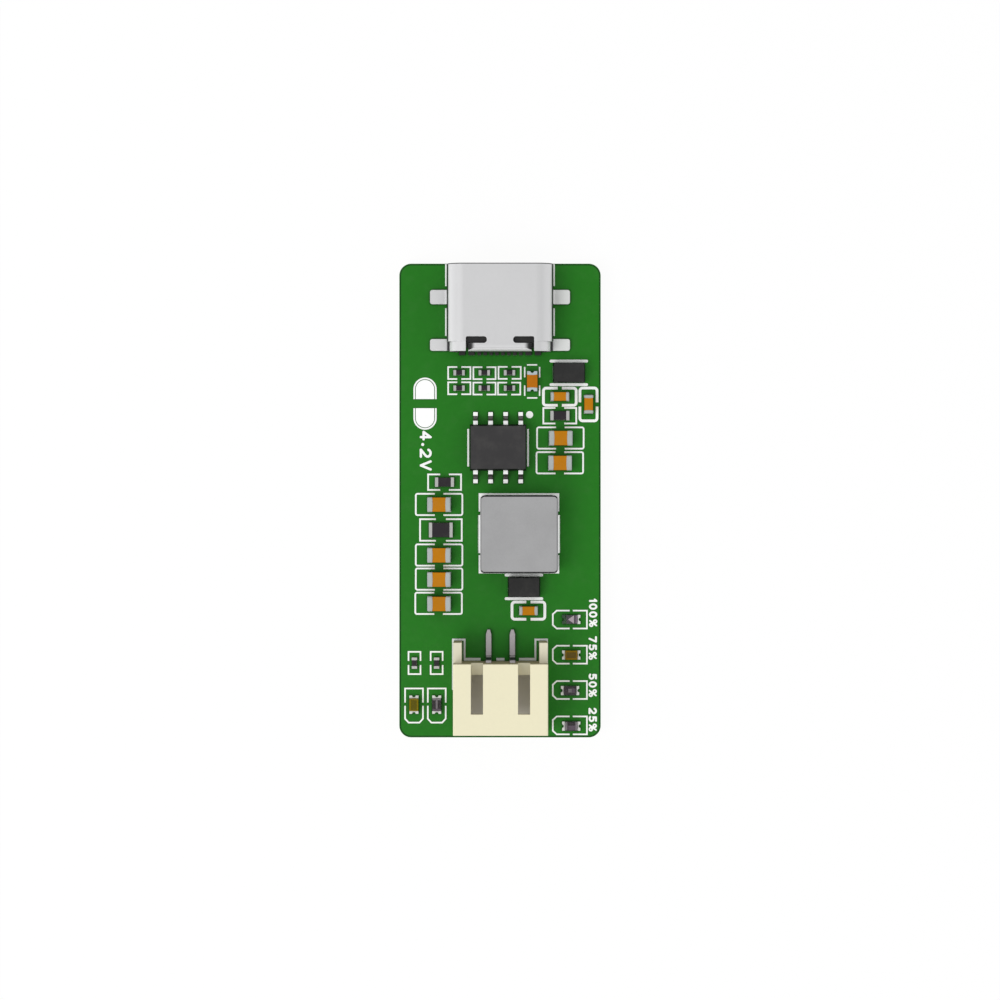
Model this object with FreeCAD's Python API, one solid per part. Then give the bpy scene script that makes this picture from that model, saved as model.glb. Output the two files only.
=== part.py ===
import FreeCAD, Part
import math
import os

# Charger board for one lithium cell, fed by a USB-C socket.
# Millimetres. +X to the right, +Y towards the USB-C socket, +Z up.
# The origin is the centre of the board's underside.

# Circuit board: its length and width follow from the parts it carries
BOARD_THICKNESS = 1.6
BOARD_CORNER_RADIUS = 1.0
PAD_THICKNESS = 0.05
FOOT_PAD_INSET = 0.05

# USB-C socket: shell
SOCKET_SETBACK = 0.16
USB_WIDTH = 8.94
USB_HEIGHT = 3.16
USB_DEPTH = 7.35
USB_SHEET = 0.30
USB_CORNER_RADIUS = 1.40
USB_MOUTH_BEVEL = 0.12
USB_REAR_STEP_DEPTH = 0.82
USB_REAR_STEP_INSET = 0.22
USB_FLAP_WIDTH = 5.30
USB_FLAP_NECK_WIDTH = 2.20
USB_FLAP_HEIGHT = 2.20
USB_FLAP_SLOT = 0.20
USB_FLAP_SLOPE_LENGTH = 0.60
USB_FLAP_SLOPE_DROP = 0.24
USB_NECK_SLOT = 0.56
USB_NECK_SLOT_FROM_REAR = 0.66
USB_NECK_SLOT_ROUND = 0.26
USB_NECK_SLOT_CORNER = 0.14
USB_FOOT_SPAN = 11.80
USB_SHEET_BEND = 0.35
USB_FOOT_CORNER_RADIUS = 0.20
USB_FRONT_FOOT_LENGTH = 1.20
USB_FRONT_FOOT_FROM_MOUTH = 2.68
USB_REAR_FOOT_LENGTH = 0.99
USB_REAR_FOOT_FROM_REAR = 0.635

# USB-C socket: insulator, plate and contacts
USB_BASE_DEPTH = 2.20
USB_BASE_SIDE_GAP = 0.05
USB_BASE_REAR_GAP = 0.04
USB_ROOT_DEPTH = 0.90
USB_ROOT_THICKNESS = 1.30
USB_TONGUE_SIDE_GAP = 0.825
USB_TONGUE_THICKNESS = 0.70
USB_TONGUE_RECESS = 0.85
USB_TONGUE_BEVEL = 0.12
USB_PLATE_THICKNESS = 0.15
USB_PLATE_PROUD = 0.08
USB_PLATE_TIP_COVER = 0.35
USB_LATCH_NOTCH = 0.45
USB_CONTACT_FROM_TONGUE_SIDE = 0.47
USB_CONTACT_COUNT = 12
USB_CONTACT_WIDTH = 0.25
USB_CONTACT_THICKNESS = 0.12
USB_CONTACT_TIP_COVER = 0.40
USB_TAIL_THICKNESS = 0.15
USB_TAIL_BEND = 0.12
USB_TAIL_HEIGHT = 0.90
USB_TAIL_CLEARANCE = 0.10
USB_LEAD_REACH = 0.22
USB_SIGNAL_TAIL_WIDTH = 0.28
USB_SIGNAL_TAIL_COUNT = 8
USB_POWER_TAIL_WIDTH = 0.50
USB_POWER_TAIL_FROM_SIGNAL_TAIL = 0.26
USB_POWER_TAIL_FROM_WALL = 0.50

# Battery header, two ways
HEADER_SETBACK = 0.55
HEADER_WIDTH = 7.87
HEADER_DEPTH = 5.90
HEADER_HEIGHT = 5.50
HEADER_FLOOR = 0.95
HEADER_ROOF = 0.85
HEADER_REAR_WALL = 1.00
HEADER_SIDE_WALL = 1.45
HEADER_SLOT_WIDTH = 1.00
HEADER_SLOT_PITCH = 3.90
HEADER_SLOT_DEPTH = 4.14
HEADER_SLOT_SILL = 3.20
HEADER_EAR_WIDTH = 0.69
HEADER_EAR_LENGTH = 1.70
HEADER_EAR_HEIGHT = 3.60
HEADER_EDGE_ROUND = 0.12
PIN_PITCH = 2.00
PIN_SIZE = 0.46
PIN_HEIGHT = 2.80
PIN_BEND = 0.30
PIN_REACH = 2.68
PIN_FROM_MOUTH = 0.80
PIN_POINT_LENGTH = 0.40
PIN_POINT_WIDTH = 0.22
TAB_SHEET = 0.20
TAB_BEND = 0.15
TAB_WIDTH = 2.40
TAB_HEIGHT = 2.20
TAB_FOOT = 1.20
TAB_FROM_MOUTH = 0.70

# Charger chip with eight bent leads
CHARGER_LENGTH = 4.76
CHARGER_WIDTH = 3.90
CHARGER_HEIGHT = 1.45
CHARGER_STANDOFF = 0.10
CHARGER_PARTING_HEIGHT = 0.75
CHARGER_END_DRAFT = 0.08
CHARGER_SIDE_DRAFT = 0.15
CHARGER_LEAD_SPAN = 6.00
CHARGER_LEAD_PITCH = 1.27
CHARGER_LEAD_COUNT = 4
CHARGER_LEAD_WIDTH = 0.38
CHARGER_LEAD_THICKNESS = 0.20
CHARGER_LEAD_BEND = 0.22
CHARGER_LEAD_ROOT = 0.20
CHARGER_SHOULDER = 0.32
CHARGER_FOOT = 0.42

# Power inductor
INDUCTOR_SIZE = 6.50
INDUCTOR_HEIGHT = 2.90
INDUCTOR_STANDOFF = 0.05
INDUCTOR_CORNER_RADIUS = 0.35
INDUCTOR_TOP_BEVEL = 0.12
STRAP_SHEET = 0.20
STRAP_WIDTH = 3.20
STRAP_BEND = 0.22
STRAP_HEIGHT = 1.30
STRAP_ROOT = 0.30
STRAP_FOOT = 1.30

# Moulded diodes
DIODE_LENGTH = 2.70
DIODE_WIDTH = 1.70
DIODE_HEIGHT = 1.05
DIODE_STANDOFF = 0.05
DIODE_PARTING_HEIGHT = 0.50
DIODE_DRAFT = 0.08
DIODE_LEAD_LENGTH = 0.60
DIODE_LEAD_WIDTH = 1.10
DIODE_LEAD_THICKNESS = 0.18

# Chip resistors, three sizes: length, width, height, plated end
TINY_RESISTOR_LENGTH = 0.95
TINY_RESISTOR_WIDTH = 0.46
TINY_RESISTOR_HEIGHT = 0.35
TINY_RESISTOR_END = 0.22
SMALL_RESISTOR_LENGTH = 1.60
SMALL_RESISTOR_WIDTH = 0.80
SMALL_RESISTOR_HEIGHT = 0.45
SMALL_RESISTOR_END = 0.26
LARGE_RESISTOR_LENGTH = 2.00
LARGE_RESISTOR_WIDTH = 1.25
LARGE_RESISTOR_HEIGHT = 0.50
LARGE_RESISTOR_END = 0.26
RESISTOR_COAT = 0.03

# Chip capacitors, two sizes
SMALL_CAPACITOR_LENGTH = 1.57
SMALL_CAPACITOR_WIDTH = 0.77
SMALL_CAPACITOR_HEIGHT = 0.80
SMALL_CAPACITOR_END = 0.24
LARGE_CAPACITOR_LENGTH = 1.98
LARGE_CAPACITOR_WIDTH = 1.25
LARGE_CAPACITOR_HEIGHT = 1.25
LARGE_CAPACITOR_END = 0.42
END_PLATING = 0.03
CAPACITOR_BEVEL = 0.07

# Notched chips: the resettable fuse and the indicator lamps
FUSE_LENGTH = 1.70
FUSE_WIDTH = 0.86
FUSE_HEIGHT = 0.50
FUSE_END = 0.29
FUSE_BODY_WIDTH = 0.88
LAMP_LENGTH = 1.54
LAMP_WIDTH = 0.76
LAMP_BASE_HEIGHT = 0.25
LAMP_END = 0.25
LAMP_LENS_HEIGHT = 0.40
LAMP_LENS_DRAFT = 0.05
LAMP_LENS_LENGTH = 1.10
NOTCH_RADIUS = 0.15

# Solder jumper
JUMPER_PAD_RADIUS = 0.78
JUMPER_PAD_STRAIGHT = 0.84
JUMPER_PAD_GAP = 0.77

# Layout down the middle: clear distances between neighbours
SOCKET_TO_RESISTORS = 1.26
RESISTOR_ROW_PITCH = 1.30
RESISTORS_TO_CHARGER = 1.79
CHARGER_TO_INDUCTOR = 1.03
INDUCTOR_TO_DIODE = 0.37
DIODE_TO_CAPACITOR = 0.77
CAPACITOR_TO_PINS = 1.19
RESISTOR_COLUMN_PITCH = 2.125
RESISTOR_FIRST_COLUMN_X = -3.45
RESISTORS_TO_FUSE = 1.01
FUSE_DROP = 0.07
CHARGER_X = -0.16
INDUCTOR_X = 1.60
HEADER_X = 0.045
BATTERY_DIODE_X = 2.02
BATTERY_CAPACITOR_X = 2.40

# Layout down the two sides: distances from the board's edges, and gaps down each stack
RIGHT_STACK_FROM_EDGE = 3.45
INPUT_DIODE_FROM_EDGE = 2.69
SIDE_CAPACITOR_FROM_EDGE = 1.03
SIDE_CAPACITOR_DROP = 0.65
FIRST_INPUT_CAPACITOR_SHIFT = 0.06
RIGHT_STACK_GAPS = (0.78, 0.82, 0.885, 0.84)
LEFT_STACK_FROM_EDGE = 3.37
SENSE_RESISTOR_FROM_EDGE = 3.82
SETTING_RESISTOR_FROM_EDGE = 3.51
LEFT_STACK_BELOW_CHARGER = 2.91
LEFT_STACK_GAPS = (0.87, 0.89, 0.875, 0.795, 0.795)
JUMPER_FROM_EDGE = 2.17
JUMPER_BELOW_RESISTORS = 1.30
GAUGE_FROM_EDGE = 2.49
GAUGE_FIRST_FROM_END = 0.97
GAUGE_PITCH = 3.00
GAUGE_SHIFTS = (0.0, -0.10, 0.0, 0.0)
STATUS_FROM_EDGE = 1.24
STATUS_TO_HEADER = 1.07
STATUS_PITCH = 1.92
STATUS_COUNT = 2
STATUS_FROM_END = 2.78
STATUS_TO_RESISTOR = 2.26
STATUS_RESISTOR_FROM_EDGE = 1.28
STATUS_RESISTOR_PITCH = 1.87

# Places worked out from the sizes above
half_width = (STATUS_FROM_EDGE + (STATUS_COUNT - 1) * STATUS_PITCH + LAMP_WIDTH / 2
              + STATUS_TO_HEADER + HEADER_WIDTH / 2 - HEADER_X)
usb_rear_drop = SOCKET_SETBACK + USB_DEPTH
first_row_drop = usb_rear_drop + USB_LEAD_REACH + SOCKET_TO_RESISTORS + TINY_RESISTOR_WIDTH / 2
second_row_drop = first_row_drop + RESISTOR_ROW_PITCH
charger_drop = second_row_drop + TINY_RESISTOR_WIDTH / 2 + RESISTORS_TO_CHARGER + CHARGER_LEAD_SPAN / 2
inductor_drop = charger_drop + CHARGER_LEAD_SPAN / 2 + CHARGER_TO_INDUCTOR + INDUCTOR_SIZE / 2
battery_diode_drop = inductor_drop + INDUCTOR_SIZE / 2 + INDUCTOR_TO_DIODE + DIODE_WIDTH / 2
battery_capacitor_drop = (battery_diode_drop + DIODE_WIDTH / 2 + DIODE_TO_CAPACITOR
                          + SMALL_CAPACITOR_WIDTH / 2)
pin_tip_drop = battery_capacitor_drop + SMALL_CAPACITOR_WIDTH / 2 + CAPACITOR_TO_PINS
header_mouth_drop = pin_tip_drop + PIN_REACH + HEADER_DEPTH
board_length = header_mouth_drop + HEADER_SETBACK
top_end = board_length / 2
bottom_end = -board_length / 2
board_top = BOARD_THICKNESS
seat = board_top + PAD_THICKNESS

ORIGIN = FreeCAD.Vector(0, 0, 0)
X_AXIS = FreeCAD.Vector(1, 0, 0)
Y_AXIS = FreeCAD.Vector(0, 1, 0)
Z_AXIS = FreeCAD.Vector(0, 0, 1)

nodes = {}
pads = []


def box(x_range, y_range, z_range):
    """Block between two values on each axis."""
    size = [high - low for low, high in (x_range, y_range, z_range)]
    corner = FreeCAD.Vector(x_range[0], y_range[0], z_range[0])
    return Part.makeBox(*size, corner)


def centred(size, middle=0.0):
    """Range of a given size about a middle."""
    return (middle - size / 2, middle + size / 2)


def edges_along(shape, axis):
    """Straight edges that run along an axis."""
    return [edge for edge in shape.Edges
            if isinstance(edge.Curve, Part.Line) and abs(edge.Curve.Direction.dot(axis)) > 0.999]


def rounded_block(length, width, z_range, radius):
    """Upright block about the origin with its four standing edges rounded."""
    block = box(centred(length), centred(width), z_range)
    return block.makeFillet(radius, edges_along(block, Z_AXIS))


def rectangle(length, width, z):
    """Rectangular wire about the Z axis."""
    x = length / 2
    y = width / 2
    corners = [(-x, -y), (x, -y), (x, y), (-x, y), (-x, -y)]
    return Part.makePolygon([FreeCAD.Vector(a, b, z) for a, b in corners])


def drafted_block(length, width, z_range, end_draft, side_draft, parting_z):
    """Moulded block that is widest at its parting line and drafts in above and below it."""
    low, high = z_range
    widest = rectangle(length, width, parting_z)
    halves = []
    for z in (low, high):
        share = abs(z - parting_z) / (high - parting_z)
        end = rectangle(length - 2 * end_draft * share, width - 2 * side_draft * share, z)
        wires = [end, widest] if z < parting_z else [widest, end]
        halves.append(Part.makeLoft(wires, True, True))
    return halves[0].fuse(halves[1]).removeSplitter()


def side_of_strip(points, bend_radius, shift):
    """Edges along one side of a bent strip, from its first point to its last.

    The strip's middle line runs straight between the points and bends at each
    inner point on an arc. shift is the distance from the middle line, to its left.
    """
    start = points[0]
    edges = []
    for before, corner, after in zip(points, points[1:], points[2:]):
        way_in = (corner - before).normalize()
        way_out = (after - corner).normalize()
        left_in = Z_AXIS.cross(way_in)
        left_out = Z_AXIS.cross(way_out)
        setback = bend_radius * math.tan(way_in.getAngle(way_out) / 2)
        arc_start = corner - way_in * setback
        arc_end = corner + way_out * setback
        side = 1 if way_in.cross(way_out).z > 0 else -1
        centre = arc_start + left_in * (bend_radius * side)
        arc_radius = bend_radius - side * shift
        arc_middle = centre + (corner - centre).normalize() * arc_radius
        run_start = start + Z_AXIS.cross(way_in) * shift
        edges.append(Part.LineSegment(run_start, arc_start + left_in * shift).toShape())
        edges.append(Part.Arc(arc_start + left_in * shift, arc_middle,
                              arc_end + left_out * shift).toShape())
        start = arc_end
    way = (points[-1] - start).normalize()
    left = Z_AXIS.cross(way)
    edges.append(Part.LineSegment(start + left * shift, points[-1] + left * shift).toShape())
    return edges


def bent_strip(path, thickness, bend_radius, width):
    """Strip of sheet bent along a path of (along, up) points, centred on its width.

    The path lies in the XZ plane and the width runs along Y.
    """
    points = [FreeCAD.Vector(along, up, 0) for along, up in path]
    left = side_of_strip(points, bend_radius, thickness / 2)
    right = side_of_strip(points, bend_radius, -thickness / 2)
    first_end = Part.LineSegment(right[0].Vertexes[0].Point, left[0].Vertexes[0].Point).toShape()
    last_end = Part.LineSegment(right[-1].Vertexes[-1].Point, left[-1].Vertexes[-1].Point).toShape()
    outline = Part.Wire(Part.__sortEdges__(left + right + [first_end, last_end]))
    strip = Part.Face(outline).extrude(Z_AXIS * width)
    strip.translate(Z_AXIS * (-width / 2))
    strip.rotate(ORIGIN, X_AXIS, 90)
    return strip


def placed(shape, x, y, z=0.0, turn=0.0):
    """Copy of a shape, turned about Z and then moved."""
    copy = shape.copy()
    copy.rotate(ORIGIN, Z_AXIS, turn)
    copy.translate(FreeCAD.Vector(x, y, z))
    return copy


def both_sides(shape):
    """A shape and its twin, turned half way round the Z axis."""
    return [shape, placed(shape, 0, 0, turn=180)]


def row(count, pitch):
    """Evenly spaced values about zero."""
    return [(index - (count - 1) / 2) * pitch for index in range(count)]


def add_pad(x, y, length, width, turn=0.0):
    """Thin tinned pad on the board."""
    pads.append(placed(box(centred(length), centred(width), (board_top, seat)), x, y, turn=turn))


def add_chip_pads(x, y, length, width, end, turn):
    """One pad of a given length at each end of a chip's length."""
    angle = math.radians(turn)
    reach = (length - end) / 2
    for side in (-1, 1):
        add_pad(x + side * reach * math.cos(angle), y + side * reach * math.sin(angle),
                end, width, turn)


def plated_end(length, width, height, end, bevel):
    """Plated cap on the +X end of a chip, with its outer edges bevelled."""
    cap = box((length / 2 - end, length / 2), centred(width), (0, height))
    outer = [edge for edge in cap.Edges if edge.BoundBox.XMax > length / 2 - end / 2]
    return cap.makeChamfer(bevel, outer)


def chip_resistor(length, width, height, end):
    """Ceramic slab, two plated ends and a coat that stands a little proud between them."""
    slab = box(centred(length - 2 * END_PLATING), centred(width - 2 * END_PLATING),
               (END_PLATING, height - RESISTOR_COAT))
    coat = box(centred(length - 2 * end), centred(width - 4 * END_PLATING),
               (height - 2 * RESISTOR_COAT, height))
    cap = box((length / 2 - end, length / 2), centred(width), (0, height - END_PLATING / 2))
    return slab.fuse([coat] + both_sides(cap)).removeSplitter()


def chip_capacitor(length, width, height, end):
    """Ceramic brick with bevelled, plated ends."""
    brick = box(centred(length - 2 * end), centred(width - 2 * END_PLATING),
                (END_PLATING, height - END_PLATING))
    cap = plated_end(length, width, height, end, CAPACITOR_BEVEL)
    return brick.fuse(both_sides(cap)).removeSplitter()


def notched_slab(length, width, height, end, body_width, plating):
    """Slab with plated ends, each with a half-round notch down its middle."""
    slab = box(centred(length - 2 * end), centred(body_width), (plating, height - plating))
    cap = box((length / 2 - end, length / 2), centred(width), (0, height))
    notch = Part.makeCylinder(NOTCH_RADIUS, height, FreeCAD.Vector(length / 2, 0, 0))
    return slab.fuse(both_sides(cap.cut(notch))).removeSplitter()


def lamp_lens():
    """Cast lens of an indicator lamp, drafted at its two ends."""
    top = LAMP_LENS_LENGTH - 2 * LAMP_LENS_DRAFT
    z_high = LAMP_BASE_HEIGHT + LAMP_LENS_HEIGHT
    wires = [rectangle(LAMP_LENS_LENGTH, LAMP_WIDTH, LAMP_BASE_HEIGHT),
             rectangle(top, LAMP_WIDTH, z_high)]
    return Part.makeLoft(wires, True, True)


def make_board():
    """Circuit board with rounded corners."""
    nodes["circuit_board"] = rounded_block(2 * half_width, board_length, (0, BOARD_THICKNESS),
                                           BOARD_CORNER_RADIUS)


def shell_section(width, height, radius, depth):
    """Rounded rectangle in the XZ plane, standing on z = 0 and drawn out along +Y."""
    block = box(centred(width), (0, depth), (0, height))
    return block.makeFillet(radius, edges_along(block, Y_AXIS))


def shell_tube(width, depth):
    """Length of the shell's tube and the space inside it."""
    outer = shell_section(width, USB_HEIGHT, USB_CORNER_RADIUS, depth)
    inner = shell_section(width - 2 * USB_SHEET, USB_HEIGHT - 2 * USB_SHEET,
                          USB_CORNER_RADIUS - USB_SHEET, depth)
    inner.translate(Z_AXIS * USB_SHEET)
    return outer.cut(inner)


def shell_mouth_bevel():
    """Flared space that bevels the inner edge of the mouth, ending at the mouth."""
    wires = []
    for depth, grow in ((USB_MOUTH_BEVEL, 0.0), (0.0, USB_MOUTH_BEVEL)):
        section = shell_section(USB_WIDTH - 2 * USB_SHEET + 2 * grow,
                                USB_HEIGHT - 2 * USB_SHEET + 2 * grow,
                                USB_CORNER_RADIUS - USB_SHEET + grow, 1.0)
        section.translate(FreeCAD.Vector(0, USB_DEPTH - depth, USB_SHEET - grow))
        near_face = min(section.Faces, key=lambda face: face.CenterOfMass.y)
        wires.append(near_face.OuterWire)
    return Part.makeLoft(wires, True, True)


def shell_foot(length, y, inset):
    """Foot that leaves the right wall of the shell and bends out on to the board."""
    wall = (USB_WIDTH - USB_SHEET) / 2 - inset
    path = [(wall, USB_HEIGHT / 2), (wall, USB_SHEET / 2), (USB_FOOT_SPAN / 2, USB_SHEET / 2)]
    foot = bent_strip(path, USB_SHEET, USB_SHEET_BEND, length)
    corners = [edge for edge in edges_along(foot, Z_AXIS)
               if edge.BoundBox.XMin > USB_FOOT_SPAN / 2 - USB_SHEET / 2]
    foot = foot.makeFillet(USB_FOOT_CORNER_RADIUS, corners)
    return placed(foot, 0, y)


def usb_feet():
    """Middle of each pair of feet from the shell's rear, their length, and their wall's inset."""
    return [(USB_REAR_FOOT_FROM_REAR, USB_REAR_FOOT_LENGTH, USB_REAR_STEP_INSET),
            (USB_DEPTH - USB_FRONT_FOOT_FROM_MOUTH, USB_FRONT_FOOT_LENGTH, 0.0)]


def neck_slot():
    """Slot in the shell's roof, from the flap's neck to the right, round at the neck."""
    end = USB_FLAP_WIDTH / 2 + USB_FLAP_SLOT
    front = USB_NECK_SLOT_FROM_REAR + USB_NECK_SLOT
    slot = box((USB_FLAP_NECK_WIDTH / 2, end), (USB_NECK_SLOT_FROM_REAR, front),
               (USB_HEIGHT - 2 * USB_SHEET, USB_HEIGHT))
    upright = edges_along(slot, Z_AXIS)
    slot = slot.makeFillet(USB_NECK_SLOT_ROUND, [edge for edge in upright if edge.BoundBox.XMax < end])
    corner = [edge for edge in edges_along(slot, Z_AXIS)
              if edge.BoundBox.XMin > end - USB_SHEET and edge.BoundBox.YMin > front - USB_SHEET]
    return slot.makeFillet(USB_NECK_SLOT_CORNER, corner)


def flap_slope():
    """Wedge off the top of the flap's right end."""
    end = USB_FLAP_WIDTH / 2
    low = USB_HEIGHT - USB_FLAP_SLOPE_DROP
    corners = [(end - USB_FLAP_SLOPE_LENGTH, USB_HEIGHT), (end, low), (end, USB_HEIGHT)]
    points = [FreeCAD.Vector(x, 0, z) for x, z in corners + corners[:1]]
    return Part.Face(Part.makePolygon(points)).extrude(Y_AXIS * USB_NECK_SLOT_FROM_REAR)


def usb_shell():
    """Shell of the socket, its rear at y = 0 and its mouth at y = USB_DEPTH."""
    front = shell_tube(USB_WIDTH, USB_DEPTH - USB_REAR_STEP_DEPTH)
    front.translate(Y_AXIS * USB_REAR_STEP_DEPTH)
    rear = shell_tube(USB_WIDTH - 2 * USB_REAR_STEP_INSET, USB_REAR_STEP_DEPTH)
    shell = front.fuse(rear)
    opening = box(centred(USB_FLAP_WIDTH + 2 * USB_FLAP_SLOT), (0, USB_NECK_SLOT_FROM_REAR),
                  (USB_HEIGHT - 2 * USB_SHEET, USB_HEIGHT))
    shell = shell.cut([opening] + both_sides_mirrored(neck_slot()))
    sheet_middle = USB_HEIGHT - USB_SHEET / 2
    path = [(USB_NECK_SLOT_FROM_REAR, sheet_middle), (USB_SHEET / 2, sheet_middle),
            (USB_SHEET / 2, USB_HEIGHT - USB_FLAP_HEIGHT)]
    flap = placed(bent_strip(path, USB_SHEET, USB_SHEET_BEND, USB_FLAP_WIDTH), 0, 0, turn=90)
    flap = flap.cut(both_sides_mirrored(flap_slope()))
    outermost = max(x + width / 2 for x, width in usb_tail_columns())
    cut_width = 2 * (outermost + USB_TAIL_CLEARANCE)
    cut_depth = usb_base_rear() + USB_TAIL_THICKNESS + USB_TAIL_CLEARANCE
    cut_height = USB_TAIL_HEIGHT + USB_TAIL_CLEARANCE
    shell = shell.cut(box(centred(cut_width), (0, cut_depth), (0, cut_height)))
    feet = []
    for y, length, inset in usb_feet():
        right = shell_foot(length, y, inset)
        left = right.mirror(ORIGIN, X_AXIS)
        feet += [right, left]
    shell = shell.fuse([flap] + feet)
    return shell.cut(shell_mouth_bevel()).removeSplitter()


def usb_tongue_tip():
    """Distance of the tongue's tip from the rear of the shell."""
    return USB_DEPTH - USB_TONGUE_RECESS


def usb_tongue_width():
    """Width of the tongue, which leaves the plug room at both sides of the shell."""
    return USB_WIDTH - 2 * (USB_SHEET + USB_TONGUE_SIDE_GAP)


def usb_contact_pitch():
    """Pitch that spreads the contacts over the tongue."""
    span = usb_tongue_width() - 2 * USB_CONTACT_FROM_TONGUE_SIDE - USB_CONTACT_WIDTH
    return span / (USB_CONTACT_COUNT - 1)


def usb_base_rear():
    """Distance of the insulator's rear face from the rear of the shell."""
    return USB_SHEET + USB_BASE_REAR_GAP


def usb_base_bevel(width):
    """Wedge off the base's rear top edge, which clears the bend of the shell's flap."""
    rear = usb_base_rear()
    top = USB_HEIGHT - USB_SHEET
    corners = [(rear, top - USB_SHEET_BEND), (rear, top), (rear + USB_SHEET_BEND, top)]
    points = [FreeCAD.Vector(-width / 2, y, z) for y, z in corners + corners[:1]]
    return Part.Face(Part.makePolygon(points)).extrude(X_AXIS * width)


def usb_insulator():
    """Moulded base that fills the shell's rear, with the thicker root and the tongue in front."""
    middle = USB_HEIGHT / 2
    base_front = usb_base_rear() + USB_BASE_DEPTH
    inner_width = USB_WIDTH - 2 * (USB_REAR_STEP_INSET + USB_SHEET + USB_BASE_SIDE_GAP)
    base = shell_section(inner_width, USB_HEIGHT - 2 * USB_SHEET, USB_CORNER_RADIUS - USB_SHEET,
                         USB_BASE_DEPTH)
    base.translate(FreeCAD.Vector(0, usb_base_rear(), USB_SHEET))
    base = base.cut(usb_base_bevel(inner_width))
    root = box(centred(usb_tongue_width()), (base_front, base_front + USB_ROOT_DEPTH),
               centred(USB_ROOT_THICKNESS, middle))
    tongue = box(centred(usb_tongue_width()), (base_front, usb_tongue_tip()),
                 centred(USB_TONGUE_THICKNESS, middle))
    tip = [edge for edge in tongue.Edges if edge.BoundBox.YMin > usb_tongue_tip() - USB_TONGUE_BEVEL
           and edge.BoundBox.XLength > edge.BoundBox.ZLength]
    return base.fuse([root, tongue.makeChamfer(USB_TONGUE_BEVEL, tip)]).removeSplitter()


def usb_mid_plate():
    """Steel plate in the middle of the tongue, with a latch notch in each side."""
    width = usb_tongue_width() + 2 * USB_PLATE_PROUD
    root_front = usb_base_rear() + USB_BASE_DEPTH + USB_ROOT_DEPTH
    y_range = (root_front, usb_tongue_tip() - USB_PLATE_TIP_COVER)
    thickness = centred(USB_PLATE_THICKNESS, USB_HEIGHT / 2)
    plate = box(centred(width), y_range, thickness)
    notch_y = centred(2 * USB_LATCH_NOTCH, sum(y_range) / 2)
    notch = box((width / 2 - USB_LATCH_NOTCH, width / 2), notch_y, thickness)
    return plate.cut(both_sides_mirrored(notch))


def both_sides_mirrored(shape):
    """A shape and its mirror image across the YZ plane."""
    return [shape, shape.mirror(ORIGIN, X_AXIS)]


def usb_contacts():
    """Contact strips on both faces of the tongue."""
    root_front = usb_base_rear() + USB_BASE_DEPTH + USB_ROOT_DEPTH
    y_range = (root_front, usb_tongue_tip() - USB_CONTACT_TIP_COVER)
    top = (USB_HEIGHT + USB_TONGUE_THICKNESS) / 2
    bottom = (USB_HEIGHT - USB_TONGUE_THICKNESS) / 2
    strips = []
    for x in row(USB_CONTACT_COUNT, usb_contact_pitch()):
        x_range = centred(USB_CONTACT_WIDTH, x)
        strips.append(box(x_range, y_range, (top - USB_CONTACT_THICKNESS, top)))
        strips.append(box(x_range, y_range, (bottom, bottom + USB_CONTACT_THICKNESS)))
    return strips


def usb_tail_columns():
    """Place and width of each solder tail across the socket."""
    signal_tails = row(USB_SIGNAL_TAIL_COUNT, usb_contact_pitch())
    columns = [(x, USB_SIGNAL_TAIL_WIDTH) for x in signal_tails]
    signal_end = max(signal_tails) + USB_SIGNAL_TAIL_WIDTH / 2
    wall = USB_WIDTH / 2 - USB_REAR_STEP_INSET - USB_SHEET
    for x in (signal_end + USB_POWER_TAIL_FROM_SIGNAL_TAIL + USB_POWER_TAIL_WIDTH / 2,
              wall - USB_POWER_TAIL_FROM_WALL - USB_POWER_TAIL_WIDTH / 2):
        columns += [(-x, USB_POWER_TAIL_WIDTH), (x, USB_POWER_TAIL_WIDTH)]
    return columns


def usb_tails():
    """Solder tails that leave the base's rear, bend back and lie on the board."""
    leg = usb_base_rear() + USB_TAIL_THICKNESS / 2
    foot = USB_TAIL_THICKNESS / 2
    path = [(leg, USB_TAIL_HEIGHT), (leg, foot), (-USB_LEAD_REACH, foot)]
    tails = []
    for x, width in usb_tail_columns():
        tail = bent_strip(path, USB_TAIL_THICKNESS, USB_TAIL_BEND, width)
        tails.append(placed(tail, x, 0, turn=90))
    return tails


def make_usb_socket():
    """USB-C socket at the top end of the board."""
    y = top_end - usb_rear_drop
    metal = usb_contacts() + usb_tails()
    plate = usb_mid_plate()
    nodes["usb_shell"] = placed(usb_shell(), 0, y, seat)
    nodes["usb_insulator"] = placed(usb_insulator().cut(metal + [plate]), 0, y, seat)
    nodes["usb_mid_plate"] = placed(plate, 0, y, seat)
    nodes["usb_contacts"] = placed(Part.makeCompound(metal), 0, y, seat)
    foot_inner = USB_WIDTH / 2
    foot_length = USB_FOOT_SPAN / 2 - FOOT_PAD_INSET - foot_inner
    for foot_y, length, _ in usb_feet():
        for side in (-1, 1):
            add_pad(side * (foot_inner + foot_length / 2), y + foot_y, foot_length,
                    length - 2 * FOOT_PAD_INSET)
    pad_reach = usb_base_rear() + USB_TAIL_THICKNESS + USB_LEAD_REACH
    for x, width in usb_tail_columns():
        add_pad(x, y - USB_LEAD_REACH + pad_reach / 2, width, pad_reach)


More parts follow.
